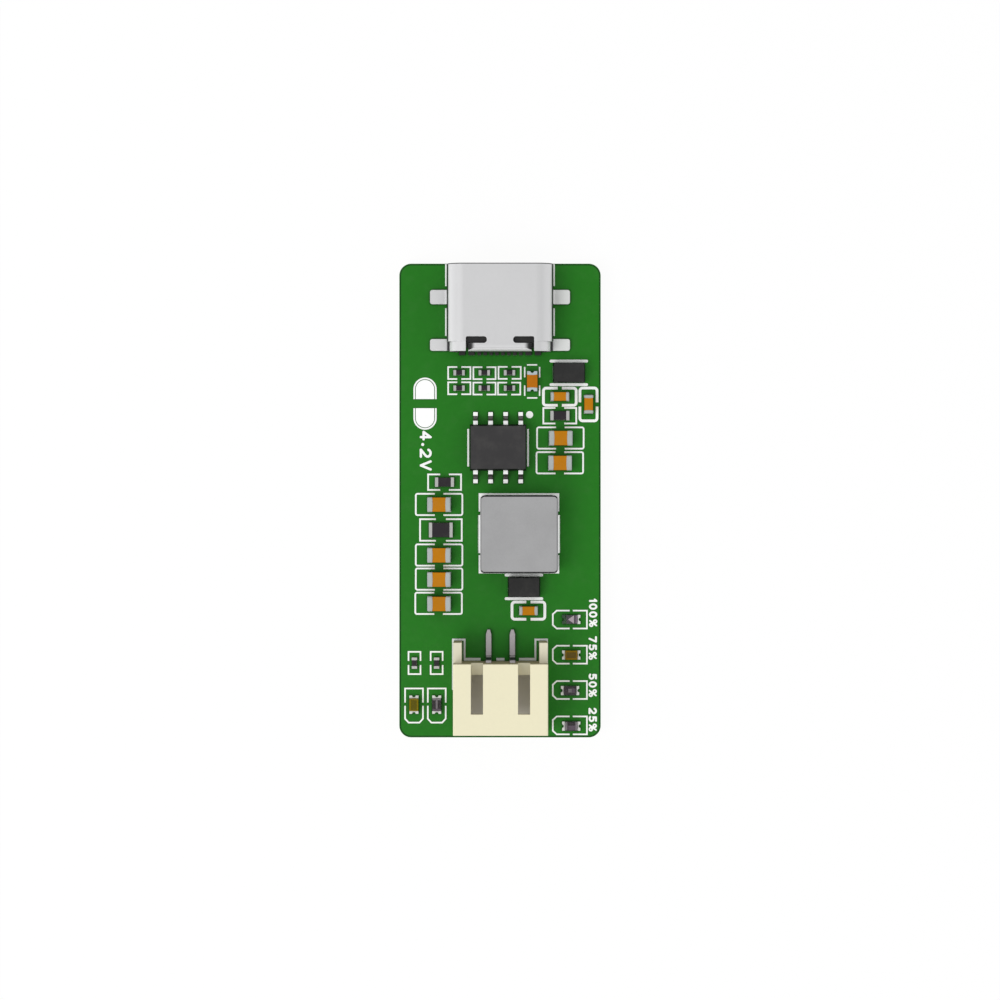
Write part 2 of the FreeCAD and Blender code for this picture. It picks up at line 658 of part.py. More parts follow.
def header_pin():
    """Square pin, its leg against the housing's rear face, which is at y = 0."""
    leg = PIN_SIZE / 2
    foot = PAD_THICKNESS + PIN_SIZE / 2
    front_tip = PIN_FROM_MOUTH - HEADER_DEPTH
    path = [(front_tip, PIN_HEIGHT), (leg, PIN_HEIGHT), (leg, foot), (PIN_REACH, foot)]
    pin = placed(bent_strip(path, PIN_SIZE, PIN_BEND, PIN_SIZE), 0, 0, turn=90)
    half = PIN_SIZE / 2
    point = PIN_POINT_WIDTH / 2
    outline = [(-half, front_tip + PIN_POINT_LENGTH), (-point, front_tip), (point, front_tip),
               (half, front_tip + PIN_POINT_LENGTH), (half, PIN_REACH - PIN_POINT_LENGTH),
               (point, PIN_REACH), (-point, PIN_REACH), (-half, PIN_REACH - PIN_POINT_LENGTH)]
    corners = [FreeCAD.Vector(x, y, 0) for x, y in outline + outline[:1]]
    prism = Part.Face(Part.makePolygon(corners)).extrude(Z_AXIS * HEADER_HEIGHT)
    return pin.common(prism)


def header_tab():
    """Solder tab in the right wall of the housing, its foot turned in under the floor."""
    leg = HEADER_WIDTH / 2 - TAB_SHEET / 2
    foot = PAD_THICKNESS + TAB_SHEET / 2
    path = [(leg, TAB_HEIGHT), (leg, foot), (HEADER_WIDTH / 2 - TAB_FOOT, foot)]
    tab = bent_strip(path, TAB_SHEET, TAB_BEND, TAB_WIDTH)
    return placed(tab, 0, TAB_FROM_MOUTH + TAB_WIDTH / 2 - HEADER_DEPTH)


def header_housing(metal):
    """Moulded housing, open at the front, with its rear face at y = 0."""
    block = box(centred(HEADER_WIDTH), (-HEADER_DEPTH, 0), (0, HEADER_HEIGHT))
    top_edges = [edge for edge in edges_along(block, Y_AXIS) if edge.BoundBox.ZMin > HEADER_HEIGHT / 2]
    block = block.makeFillet(HEADER_EDGE_ROUND, top_edges)
    ears = [box(centred(HEADER_EAR_WIDTH, side * (HEADER_WIDTH - HEADER_EAR_WIDTH) / 2),
                (0, HEADER_EAR_LENGTH), (0, HEADER_EAR_HEIGHT)) for side in (-1, 1)]
    cavity_width = HEADER_WIDTH - 2 * HEADER_SIDE_WALL
    cavity = box(centred(cavity_width), (-HEADER_DEPTH, -HEADER_REAR_WALL),
                 (HEADER_FLOOR, HEADER_HEIGHT - HEADER_ROOF))
    slots = [box(centred(HEADER_SLOT_WIDTH, x), (-HEADER_SLOT_DEPTH, 0),
                 (HEADER_SLOT_SILL, HEADER_HEIGHT)) for x in row(2, HEADER_SLOT_PITCH)]
    tab_foot = HEADER_WIDTH / 2 - TAB_FOOT
    tab_y = centred(TAB_WIDTH, TAB_FROM_MOUTH + TAB_WIDTH / 2 - HEADER_DEPTH)
    relief = box((tab_foot, HEADER_WIDTH / 2), tab_y, (0, PAD_THICKNESS + TAB_SHEET / 2))
    housing = block.fuse(ears).cut([cavity] + slots + both_sides_mirrored(relief) + metal)
    return housing.removeSplitter()


def make_battery_header():
    """Two-way battery header at the bottom end of the board."""
    y = top_end - pin_tip_drop - PIN_REACH
    pins = [placed(header_pin(), x, 0) for x in row(2, PIN_PITCH)]
    tabs = both_sides_mirrored(header_tab())
    nodes["battery_header_housing"] = placed(header_housing(pins + tabs), HEADER_X, y, board_top)
    for name, pin in zip(("left", "right"), pins):
        nodes["battery_header_pin_" + name] = placed(pin, HEADER_X, y, board_top)
    for name, tab in zip(("right", "left"), tabs):
        nodes["battery_header_tab_" + name] = placed(tab, HEADER_X, y, board_top)
    pad_length = PIN_REACH - PIN_POINT_LENGTH
    for x in row(2, PIN_PITCH):
        add_pad(HEADER_X + x, y + pad_length / 2, PIN_SIZE, pad_length)
    tab_x = (HEADER_WIDTH - TAB_FOOT) / 2
    tab_y = y + TAB_FROM_MOUTH + TAB_WIDTH / 2 - HEADER_DEPTH
    for side in (-1, 1):
        add_pad(HEADER_X + side * tab_x, tab_y, TAB_FOOT, TAB_WIDTH)


def make_charger():
    """Charger chip: moulded body and its bent leads."""
    y = top_end - charger_drop
    half_span = CHARGER_LEAD_SPAN / 2
    foot_z = CHARGER_LEAD_THICKNESS / 2
    shoulder = CHARGER_WIDTH / 2 + CHARGER_SHOULDER
    path = [(CHARGER_WIDTH / 2 - CHARGER_LEAD_ROOT, CHARGER_PARTING_HEIGHT),
            (shoulder, CHARGER_PARTING_HEIGHT), (half_span - CHARGER_FOOT, foot_z), (half_span, foot_z)]
    lead = placed(bent_strip(path, CHARGER_LEAD_THICKNESS, CHARGER_LEAD_BEND, CHARGER_LEAD_WIDTH),
                  0, 0, turn=90)
    leads = []
    for x in row(CHARGER_LEAD_COUNT, CHARGER_LEAD_PITCH):
        leads += both_sides(placed(lead, x, 0))
        for side in (-1, 1):
            add_pad(CHARGER_X + x, y + side * (half_span - CHARGER_FOOT / 2),
                    CHARGER_LEAD_WIDTH, CHARGER_FOOT)
    body = drafted_block(CHARGER_LENGTH, CHARGER_WIDTH, (CHARGER_STANDOFF, CHARGER_HEIGHT),
                         CHARGER_END_DRAFT, CHARGER_SIDE_DRAFT, CHARGER_PARTING_HEIGHT)
    nodes["charger_body"] = placed(body.cut(leads), CHARGER_X, y, seat)
    nodes["charger_leads"] = placed(Part.makeCompound(leads), CHARGER_X, y, seat)


def make_inductor():
    """Power inductor: moulded body and two strap terminals bent down its sides."""
    y = top_end - inductor_drop
    half = INDUCTOR_SIZE / 2
    body = rounded_block(INDUCTOR_SIZE, INDUCTOR_SIZE, (INDUCTOR_STANDOFF, INDUCTOR_HEIGHT),
                         INDUCTOR_CORNER_RADIUS)
    top = [edge for edge in body.Edges if edge.BoundBox.ZMin > INDUCTOR_HEIGHT - INDUCTOR_TOP_BEVEL]
    body = body.makeChamfer(INDUCTOR_TOP_BEVEL, top)
    leg = half + STRAP_SHEET / 2
    path = [(half - STRAP_ROOT, STRAP_HEIGHT), (leg, STRAP_HEIGHT), (leg, STRAP_SHEET / 2),
            (half - STRAP_FOOT, STRAP_SHEET / 2)]
    straps = both_sides(bent_strip(path, STRAP_SHEET, STRAP_BEND, STRAP_WIDTH))
    nodes["inductor_body"] = placed(body.cut(straps), INDUCTOR_X, y, seat)
    for name, strap in zip(("right", "left"), straps):
        nodes["inductor_terminal_" + name] = placed(strap, INDUCTOR_X, y, seat)
    pad_length = STRAP_FOOT + STRAP_SHEET
    for side in (-1, 1):
        add_pad(INDUCTOR_X + side * (leg + STRAP_SHEET / 2 - pad_length / 2), y, pad_length, STRAP_WIDTH)


def make_diode(name, x, y):
    """Moulded diode with a flat lead let into the underside of each end."""
    body = drafted_block(DIODE_LENGTH, DIODE_WIDTH, (DIODE_STANDOFF, DIODE_HEIGHT),
                         DIODE_DRAFT, DIODE_DRAFT, DIODE_PARTING_HEIGHT)
    lead = box((DIODE_LENGTH / 2 - DIODE_LEAD_LENGTH, DIODE_LENGTH / 2), centred(DIODE_LEAD_WIDTH),
               (0, DIODE_LEAD_THICKNESS))
    leads = both_sides(lead)
    nodes[name + "_body"] = placed(body.cut(leads), x, y, seat)
    nodes[name + "_leads"] = placed(Part.makeCompound(leads), x, y, seat)
    add_chip_pads(x, y, DIODE_LENGTH, DIODE_LEAD_WIDTH, DIODE_LEAD_LENGTH, 0)


def make_chip(name, shape, pad_size, x, y, turn=0.0):
    """Chip part on its two pads. pad_size is their outer span, their width and length."""
    span, width, length = pad_size
    nodes[name] = placed(shape, x, y, seat, turn)
    add_chip_pads(x, y, span, width, length, turn)


def make_resistors():
    """All chip resistors apart from those in the two side stacks."""
    shape = chip_resistor(TINY_RESISTOR_LENGTH, TINY_RESISTOR_WIDTH, TINY_RESISTOR_HEIGHT,
                          TINY_RESISTOR_END)
    size = (TINY_RESISTOR_LENGTH, TINY_RESISTOR_WIDTH, TINY_RESISTOR_END)
    number = 1
    for drop in (first_row_drop, second_row_drop):
        for column in range(3):
            x = RESISTOR_FIRST_COLUMN_X + column * RESISTOR_COLUMN_PITCH
            make_chip(f"input_resistor_{number}", shape, size, x, top_end - drop)
            number += 1
    status_y = bottom_end + STATUS_FROM_END
    y = status_y + LAMP_LENGTH / 2 + STATUS_TO_RESISTOR + TINY_RESISTOR_LENGTH / 2
    for index in range(STATUS_COUNT):
        x = -half_width + STATUS_RESISTOR_FROM_EDGE + index * STATUS_RESISTOR_PITCH
        make_chip(f"status_resistor_{index + 1}", shape, size, x, y, turn=90)


def stack_places(first_y, widths, gaps):
    """Middles of parts stacked downwards, each a gap below the one before."""
    places = [first_y]
    for upper, lower, gap in zip(widths, widths[1:], gaps):
        places.append(places[-1] - upper / 2 - gap - lower / 2)
    return places


def make_side_stacks():
    """The stacks of chips down the left and right sides of the board."""
    small_resistor = chip_resistor(SMALL_RESISTOR_LENGTH, SMALL_RESISTOR_WIDTH,
                                   SMALL_RESISTOR_HEIGHT, SMALL_RESISTOR_END)
    small_resistor_size = (SMALL_RESISTOR_LENGTH, SMALL_RESISTOR_WIDTH, SMALL_RESISTOR_END)
    large_resistor = chip_resistor(LARGE_RESISTOR_LENGTH, LARGE_RESISTOR_WIDTH,
                                   LARGE_RESISTOR_HEIGHT, LARGE_RESISTOR_END)
    large_resistor_size = (LARGE_RESISTOR_LENGTH, LARGE_RESISTOR_WIDTH, LARGE_RESISTOR_END)
    small_capacitor = chip_capacitor(SMALL_CAPACITOR_LENGTH, SMALL_CAPACITOR_WIDTH,
                                     SMALL_CAPACITOR_HEIGHT, SMALL_CAPACITOR_END)
    small_capacitor_size = (SMALL_CAPACITOR_LENGTH, SMALL_CAPACITOR_WIDTH, SMALL_CAPACITOR_END)
    large_capacitor = chip_capacitor(LARGE_CAPACITOR_LENGTH, LARGE_CAPACITOR_WIDTH,
                                     LARGE_CAPACITOR_HEIGHT, LARGE_CAPACITOR_END)
    large_capacitor_size = (LARGE_CAPACITOR_LENGTH, LARGE_CAPACITOR_WIDTH, LARGE_CAPACITOR_END)

    x = half_width - RIGHT_STACK_FROM_EDGE
    widths = [DIODE_WIDTH, SMALL_CAPACITOR_WIDTH, SMALL_RESISTOR_WIDTH,
              LARGE_CAPACITOR_WIDTH, LARGE_CAPACITOR_WIDTH]
    places = stack_places(top_end - first_row_drop, widths, RIGHT_STACK_GAPS)
    make_diode("input_diode", half_width - INPUT_DIODE_FROM_EDGE, places[0])
    make_chip("input_bypass_capacitor", small_capacitor, small_capacitor_size, x, places[1])
    make_chip("input_set_resistor", small_resistor, small_resistor_size, x, places[2])
    make_chip("input_capacitor_1", large_capacitor, large_capacitor_size,
              x + FIRST_INPUT_CAPACITOR_SHIFT, places[3])
    make_chip("input_capacitor_2", large_capacitor, large_capacitor_size, x, places[4])
    make_chip("side_bypass_capacitor", small_capacitor, small_capacitor_size,
              half_width - SIDE_CAPACITOR_FROM_EDGE, places[1] - SIDE_CAPACITOR_DROP, turn=90)

    x = -half_width + LEFT_STACK_FROM_EDGE
    widths = [SMALL_RESISTOR_WIDTH, LARGE_CAPACITOR_WIDTH, LARGE_RESISTOR_WIDTH,
              LARGE_CAPACITOR_WIDTH, LARGE_CAPACITOR_WIDTH, LARGE_CAPACITOR_WIDTH]
    places = stack_places(top_end - charger_drop - LEFT_STACK_BELOW_CHARGER, widths, LEFT_STACK_GAPS)
    make_chip("sense_resistor", small_resistor, small_resistor_size,
              -half_width + SENSE_RESISTOR_FROM_EDGE, places[0])
    make_chip("setting_resistor", large_resistor, large_resistor_size,
              -half_width + SETTING_RESISTOR_FROM_EDGE, places[2])
    for number, index in enumerate((1, 3, 4, 5), start=1):
        make_chip(f"output_capacitor_{number}", large_capacitor, large_capacitor_size,
                  x, places[index])
    make_chip("battery_capacitor", small_capacitor, small_capacitor_size,
              BATTERY_CAPACITOR_X, top_end - battery_capacitor_drop)


def make_fuse():
    """Resettable fuse beside the two rows of small resistors, turned on end."""
    shape = notched_slab(FUSE_LENGTH, FUSE_WIDTH, FUSE_HEIGHT, FUSE_END, FUSE_BODY_WIDTH, END_PLATING)
    last_column = RESISTOR_FIRST_COLUMN_X + 2 * RESISTOR_COLUMN_PITCH
    x = last_column + TINY_RESISTOR_LENGTH / 2 + RESISTORS_TO_FUSE + FUSE_WIDTH / 2
    y = top_end - (first_row_drop + second_row_drop) / 2 - FUSE_DROP
    pad_span = FUSE_LENGTH - 2 * NOTCH_RADIUS
    make_chip("input_fuse", shape, (pad_span, FUSE_WIDTH, FUSE_END), x, y, turn=90)


def make_lamp(name, x, y, turn):
    """Indicator lamp: notched base and cast lens."""
    base = notched_slab(LAMP_LENGTH, LAMP_WIDTH, LAMP_BASE_HEIGHT, LAMP_END, LAMP_WIDTH, 0.0)
    pad_span = LAMP_LENGTH - 2 * NOTCH_RADIUS
    make_chip(name + "_base", base, (pad_span, LAMP_WIDTH, LAMP_END), x, y, turn)
    nodes[name + "_lens"] = placed(lamp_lens(), x, y, seat, turn)


def make_lamps():
    """Four gauge lamps up the right side and two status lamps in the lower left corner."""
    for index, shift in enumerate(GAUGE_SHIFTS):
        x = half_width - GAUGE_FROM_EDGE + shift
        y = bottom_end + GAUGE_FIRST_FROM_END + index * GAUGE_PITCH
        make_lamp(f"gauge_lamp_{index + 1}", x, y, 0)
    for index in range(STATUS_COUNT):
        x = -half_width + STATUS_FROM_EDGE + index * STATUS_PITCH
        make_lamp(f"status_lamp_{index + 1}", x, bottom_end + STATUS_FROM_END, 90)


def make_jumper():
    """Two bare D-shaped pads that face each other across a gap."""
    thickness = (board_top, seat)
    straight = box(centred(2 * JUMPER_PAD_RADIUS),
                   (JUMPER_PAD_GAP / 2, JUMPER_PAD_GAP / 2 + JUMPER_PAD_STRAIGHT), thickness)
    round_centre = FreeCAD.Vector(0, JUMPER_PAD_GAP / 2 + JUMPER_PAD_STRAIGHT, board_top)
    round_end = Part.makeCylinder(JUMPER_PAD_RADIUS, PAD_THICKNESS, round_centre, Z_AXIS, 180)
    pair = Part.makeCompound(both_sides(straight.fuse(round_end).removeSplitter()))
    nodes["solder_jumper_pads"] = placed(pair, -half_width + JUMPER_FROM_EDGE,
                                         top_end - second_row_drop - JUMPER_BELOW_RESISTORS)


make_board()
make_usb_socket()
make_battery_header()
make_charger()
make_inductor()
make_resistors()
make_side_stacks()
make_fuse()
make_lamps()
make_jumper()
make_diode("battery_diode", BATTERY_DIODE_X, top_end - battery_diode_drop)
nodes["solder_pads"] = Part.makeCompound(pads)

os.makedirs("parts", exist_ok=True)
for node_name, node_shape in nodes.items():
    node_shape.exportStep(f"parts/{node_name}.step")
print(len(nodes), "parts, board length", round(board_length, 3))
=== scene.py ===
"""Looks of a charger board for one lithium cell, fed by a USB-C socket.

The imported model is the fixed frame: metres, +X to the right, +Y towards the
socket, +Z up, with the origin at the centre of the board's underside. The
board's parts keep their own solids and are dressed here. What is added is the
white print, what shows inside the indicator lamps, and the studio. The lengths
of finishes, parts and print are given in millimetres.
"""

import logging
import math
from dataclasses import dataclass, field, replace
from enum import Enum
from functools import cache, partial, partialmethod, reduce
from typing import Callable

import bmesh
import bpy
from mathutils import Matrix, Vector


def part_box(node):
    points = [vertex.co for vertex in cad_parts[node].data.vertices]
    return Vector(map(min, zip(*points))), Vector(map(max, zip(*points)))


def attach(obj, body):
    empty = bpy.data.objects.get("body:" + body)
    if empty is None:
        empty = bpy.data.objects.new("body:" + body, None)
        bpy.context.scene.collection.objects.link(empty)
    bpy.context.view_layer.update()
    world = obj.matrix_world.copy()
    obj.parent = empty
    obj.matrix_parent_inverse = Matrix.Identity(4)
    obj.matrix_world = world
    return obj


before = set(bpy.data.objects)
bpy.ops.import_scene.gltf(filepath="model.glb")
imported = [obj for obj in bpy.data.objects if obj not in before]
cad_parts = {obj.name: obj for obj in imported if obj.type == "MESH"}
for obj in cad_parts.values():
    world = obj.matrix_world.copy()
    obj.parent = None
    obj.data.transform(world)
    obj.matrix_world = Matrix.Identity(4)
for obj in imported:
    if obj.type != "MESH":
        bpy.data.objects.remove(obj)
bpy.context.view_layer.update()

MM = 0.001
ROOT = "root"
ARC_STEPS = 8
CURVE_STEPS = 24
LEAST_TURN = 1e-9
EDGE_SAMPLES = 4
MIX_COLOURS = 6
MIX_RESULT = 2
HALF = 0.5

Colour = tuple[int, int, int]
Point = tuple[float, float]
Socket = bpy.types.NodeSocket
Sockets = bpy.types.bpy_prop_collection
Value = float | Socket
Group = Callable[[], bpy.types.NodeTree]

log = logging.getLogger("charger_board")


def linear(colour: Colour, gain: float = 1.0) -> tuple[float, ...]:
    """Linear values of a display colour.

    Args:
        colour: Red, green and blue, from 0 to 255.
        gain: Factor on the linear values, which stop at 1.

    Returns:
        Linear red, green and blue, and 1 for full cover.
    """
    shares = [level / 255 for level in colour]
    levels = [share / 12.92 if share <= 0.04045 else ((share + 0.055) / 1.055) ** 2.4
              for share in shares]
    return *(min(1.0, level * gain) for level in levels), 1.0


class Lie(Enum):
    """Way that a part or its outline lies on the board."""

    ACROSS = "across"
    ALONG = "along"

    def turned(self, point: Point) -> Point:
        """A point about a part's middle, turned with the part."""
        return (-point[1], point[0]) if self is Lie.ALONG else point

    def ordered(self, pair: tuple) -> tuple:
        """Values for X and Y as values along and across the part, or back."""
        return pair[::-1] if self is Lie.ALONG else pair


class Graph:
    """Places and joins nodes in one node tree. Grain has the outputs of the finish's grain."""

    grain: Sockets

    def __init__(self, tree: bpy.types.NodeTree) -> None:
        """Start with an empty tree."""
        self.tree = tree
        tree.nodes.clear()

    def feed(self, socket: Socket, value: object) -> None:
        """Join a socket to another one, or set its value."""
        if isinstance(value, Socket):
            self.tree.links.new(value, socket)
        else:
            socket.default_value = value

    def add(self, kind: str, inputs: dict | None = None, **settings: object) -> bpy.types.Node:
        """Add a node.

        Args:
            kind: The node's type.
            inputs: Values or sockets for its inputs, by name or number.
            **settings: Properties of the node.

        Returns:
            The node.
        """
        node = self.tree.nodes.new(kind)
        for name, value in settings.items():
            setattr(node, name, value)
        for name, value in (inputs or {}).items():
            self.feed(node.inputs[name], value)
        return node

    def step(self, operation: str, *values: Value) -> Socket:
        """Result of one step of arithmetic."""
        return self.add("ShaderNodeMath", dict(enumerate(values)), operation=operation).outputs[0]

    def chain(self, operation: str, *values: Value) -> Socket:
        """Result of one operation that is carried through several values."""
        return reduce(partial(self.step, operation), values)

    plus = partialmethod(chain, "ADD")
    minus = partialmethod(chain, "SUBTRACT")
    times = partialmethod(chain, "MULTIPLY")
    most = partialmethod(chain, "MAXIMUM")
    above = partialmethod(chain, "GREATER_THAN")
    below = partialmethod(chain, "LESS_THAN")

    def invert(self, mask: Value) -> Socket:
        """1 where a mask is 0, and the other way round."""
        return self.minus(1.0, mask)

    def off_centre(self, share: Socket) -> Socket:
        """Distance of a share of a length from its middle."""
        return self.step("ABSOLUTE", self.minus(share, HALF))

    def ramp(self, value: Value, low: Value, high: Value, start: float = 0.0,
             end: float = 1.0) -> Socket:
        """Smooth step between two results.

        Args:
            value: The value that the step follows.
            low: Value where the step begins.
            high: Value where it ends.
            start: Result at the low value.
            end: Result at the high value.

        Returns:
            The result.
        """
        inputs = {"Value": value, "From Min": low, "From Max": high, "To Min": start, "To Max": end}
        node = self.add("ShaderNodeMapRange", inputs, interpolation_type="SMOOTHSTEP")
        return node.outputs["Result"]

    def blend(self, share: Value, *pair: object) -> Socket:
        """Mix of two colours.

        Args:
            share: Share of the second colour.
            *pair: The colours, each a display colour, four linear values or a socket.

        Returns:
            The mix.
        """
        node = self.add("ShaderNodeMix", {"Factor": share}, data_type="RGBA")
        for number, value in enumerate(pair, start=MIX_COLOURS):
            display = isinstance(value, tuple) and len(value) == 3
            self.feed(node.inputs[number], linear(value) if display else value)
        return node.outputs[MIX_RESULT]

    def effect(self, group: Group, **inputs: Value) -> Sockets:
        """Place a shared effect with its inputs, and give its outputs."""
        return self.add("ShaderNodeGroup", inputs, node_tree=group()).outputs

    def split(self, vector: Socket) -> Sockets:
        """The three parts of a vector."""
        return self.add("ShaderNodeSeparateXYZ", {0: vector}).outputs

    def place(self) -> Sockets:
        """Place in the object's box, as shares of its three lengths."""
        return self.split(self.add("ShaderNodeTexCoord").outputs["Generated"])

    def way(self) -> Sockets:
        """Direction that the surface faces."""
        return self.split(self.add("ShaderNodeNewGeometry").outputs["Normal"])

    def own(self) -> Socket:
        """The object's own coordinates."""
        return self.add("ShaderNodeTexCoord").outputs["Object"]

    def noise(self, scale: Value, **inputs: float) -> Socket:
        """Noise over the object's own coordinates."""
        inputs = {"Vector": self.own(), "Scale": scale, **inputs}
        return self.add("ShaderNodeTexNoise", inputs).outputs[0]


def shared_effect(**inputs: float) -> Callable[[Callable], Group]:
    """Make a shared node group out of a function that works out its outputs.

    Args:
        **inputs: Default of each of the group's inputs.

    Returns:
        Decorator for the function, which leaves a maker of the group.
    """
    def wrap(work: Callable[[Graph, Sockets], dict[str, Socket]]) -> Group:
        """Maker of the function's group."""
        @cache
        def group() -> bpy.types.NodeTree:
            """The group, made the first time it is asked for."""
            tree = bpy.data.node_groups.new(work.__name__, "ShaderNodeTree")
            add_socket = partial(tree.interface.new_socket, socket_type="NodeSocketFloat")
            for label, default in inputs.items():
                add_socket(name=label, in_out="INPUT").default_value = default
            graph = Graph(tree)
            outputs = work(graph, graph.add("NodeGroupInput").outputs)
            for label in outputs:
                add_socket(name=label, in_out="OUTPUT")
            graph.add("NodeGroupOutput", outputs)
            return tree
        return group
    return wrap


@shared_effect(Scale=5000.0, Broad=0.05, Speck=3.1)
def fine_grain(graph: Graph, given: Sockets) -> dict[str, Socket]:
    """Even grain over a surface. Broad and Speck are shares of Scale for two more grains.

    Returns:
        Tone, Broad and Height, each about a half.
    """
    fine = graph.noise(given["Scale"], Detail=3.0, Roughness=0.6)
    broad = graph.noise(graph.times(given["Scale"], given["Broad"]), Detail=2.0)
    speck = graph.noise(graph.times(given["Scale"], given["Speck"]), Detail=1.0)
    return {"Tone": fine, "Broad": broad, "Height": graph.times(graph.plus(fine, speck), HALF)}


@shared_effect(Width=0.05 * MM, Sharp=0.995, Round=0.80, Patches=3000.0, Thin=0.25, Thick=0.6,
               Least=0.45)
def edge_strip(graph: Graph, given: Sockets) -> dict[str, Socket]:
    """Narrow strip along a piece's edges, broken up a little.

    Sharp and Round say how far the rounded normal agrees with the flat one where the strip
    starts and is full. Thin and Thick are the noise where it is at its least and full.

    Returns:
        Mask, 1 on the edges.
    """
    rounded = graph.add("ShaderNodeBevel", {"Radius": given["Width"]}, samples=EDGE_SAMPLES)
    flat = graph.add("ShaderNodeNewGeometry")
    facing = graph.add("ShaderNodeVectorMath", {0: rounded.outputs[0], 1: flat.outputs["Normal"]},
                       operation="DOT_PRODUCT")
    kept = graph.ramp(graph.noise(given["Patches"], Detail=2.0), given["Thin"], given["Thick"],
                      given["Least"])
    edge = graph.ramp(facing.outputs["Value"], given["Sharp"], given["Round"])
    return {"Mask": graph.times(edge, kept)}


@shared_effect(Slope=0.4, Flat=1.0, Patches=700.0, Bare=0.45, Full=0.75)
def settled_dust(graph: Graph, given: Sockets) -> dict[str, Socket]:
    """Patches of dust that settle on surfaces facing up, from Slope on and most at Flat.

    Bare and Full are the noise where a patch starts and is full.

    Returns:
        Mask, 1 in a full patch.
    """
    patches = graph.noise(given["Patches"], Detail=5.0, Roughness=0.7)
    lying = graph.ramp(patches, given["Bare"], given["Full"])
    level = graph.ramp(graph.way()["Z"], given["Slope"], given["Flat"])
    return {"Mask": graph.times(lying, level)}


@shared_effect(Along=0.5, Across=0.5, Body=0.3, Bow=0.02)
def plated_ends(graph: Graph, given: Sockets) -> dict[str, Socket]:
    """Plated ends of a chip, whose inner edges bow in.

    Along and Across are the place on the chip. Body is half the bare length and Bow the bow.
    All four are shares of the chip's lengths.

    Returns:
        Low and High, 1 on the end at low and at high values.
    """
    side = graph.times(graph.minus(given["Across"], HALF), 2.0)
    bow = graph.times(given["Bow"], graph.invert(graph.times(side, side)))
    edge = graph.minus(given["Body"], bow)
    reach = graph.minus(given["Along"], HALF)
    return {"Low": graph.below(reach, graph.times(edge, -1.0)), "High": graph.above(reach, edge)}


@shared_effect(Slope=0.6, Flat=0.95)
def facing_up(graph: Graph, given: Sockets) -> dict[str, Socket]:
    """How far a surface faces up.

    Slope and Flat are the heights of the normal where Level starts and is full.

    Returns:
        Up, the flat normal's height, and Level, 1 on level tops only.
    """
    up = graph.way()["Z"]
    return {"Up": up, "Level": graph.ramp(up, given["Slope"], given["Flat"])}


@shared_effect(Breadth=17.0, Length=40.0, Corner=1.0, Inset=0.0, Width=0.1)
def outline_strip(graph: Graph, given: Sockets) -> dict[str, Socket]:
    """Strip of even width just inside the outline of a rounded rectangle.

    Returns:
        Mask, 1 on the strip.
    """
    part = graph.place()
    squares = []
    for axis, size in (("X", given["Breadth"]), ("Y", given["Length"])):
        start = graph.minus(graph.times(size, HALF), given["Corner"])
        beyond = graph.minus(graph.times(graph.off_centre(part[axis]), size), start)
        squares.append(graph.step("POWER", graph.most(beyond, 0.0), 2.0))
    reach = graph.step("SQRT", graph.plus(*squares))
    outer = graph.minus(given["Corner"], given["Inset"])
    inner = graph.minus(outer, given["Width"])
    return {"Mask": graph.times(graph.above(reach, inner), graph.below(reach, outer))}


@shared_effect(Distance=0.2 * MM, Open=0.95, Closed=0.45)
def contact_shade(graph: Graph, given: Sockets) -> dict[str, Socket]:
    """Painted shade where something stands close by, a dark line at the foot of parts.

    Returns:
        Mask, 1 in a narrow gap.
    """
    around = graph.add("ShaderNodeAmbientOcclusion", {"Distance": given["Distance"]},
                       samples=EDGE_SAMPLES)
    return {"Mask": graph.ramp(around.outputs["AO"], given["Open"], given["Closed"])}


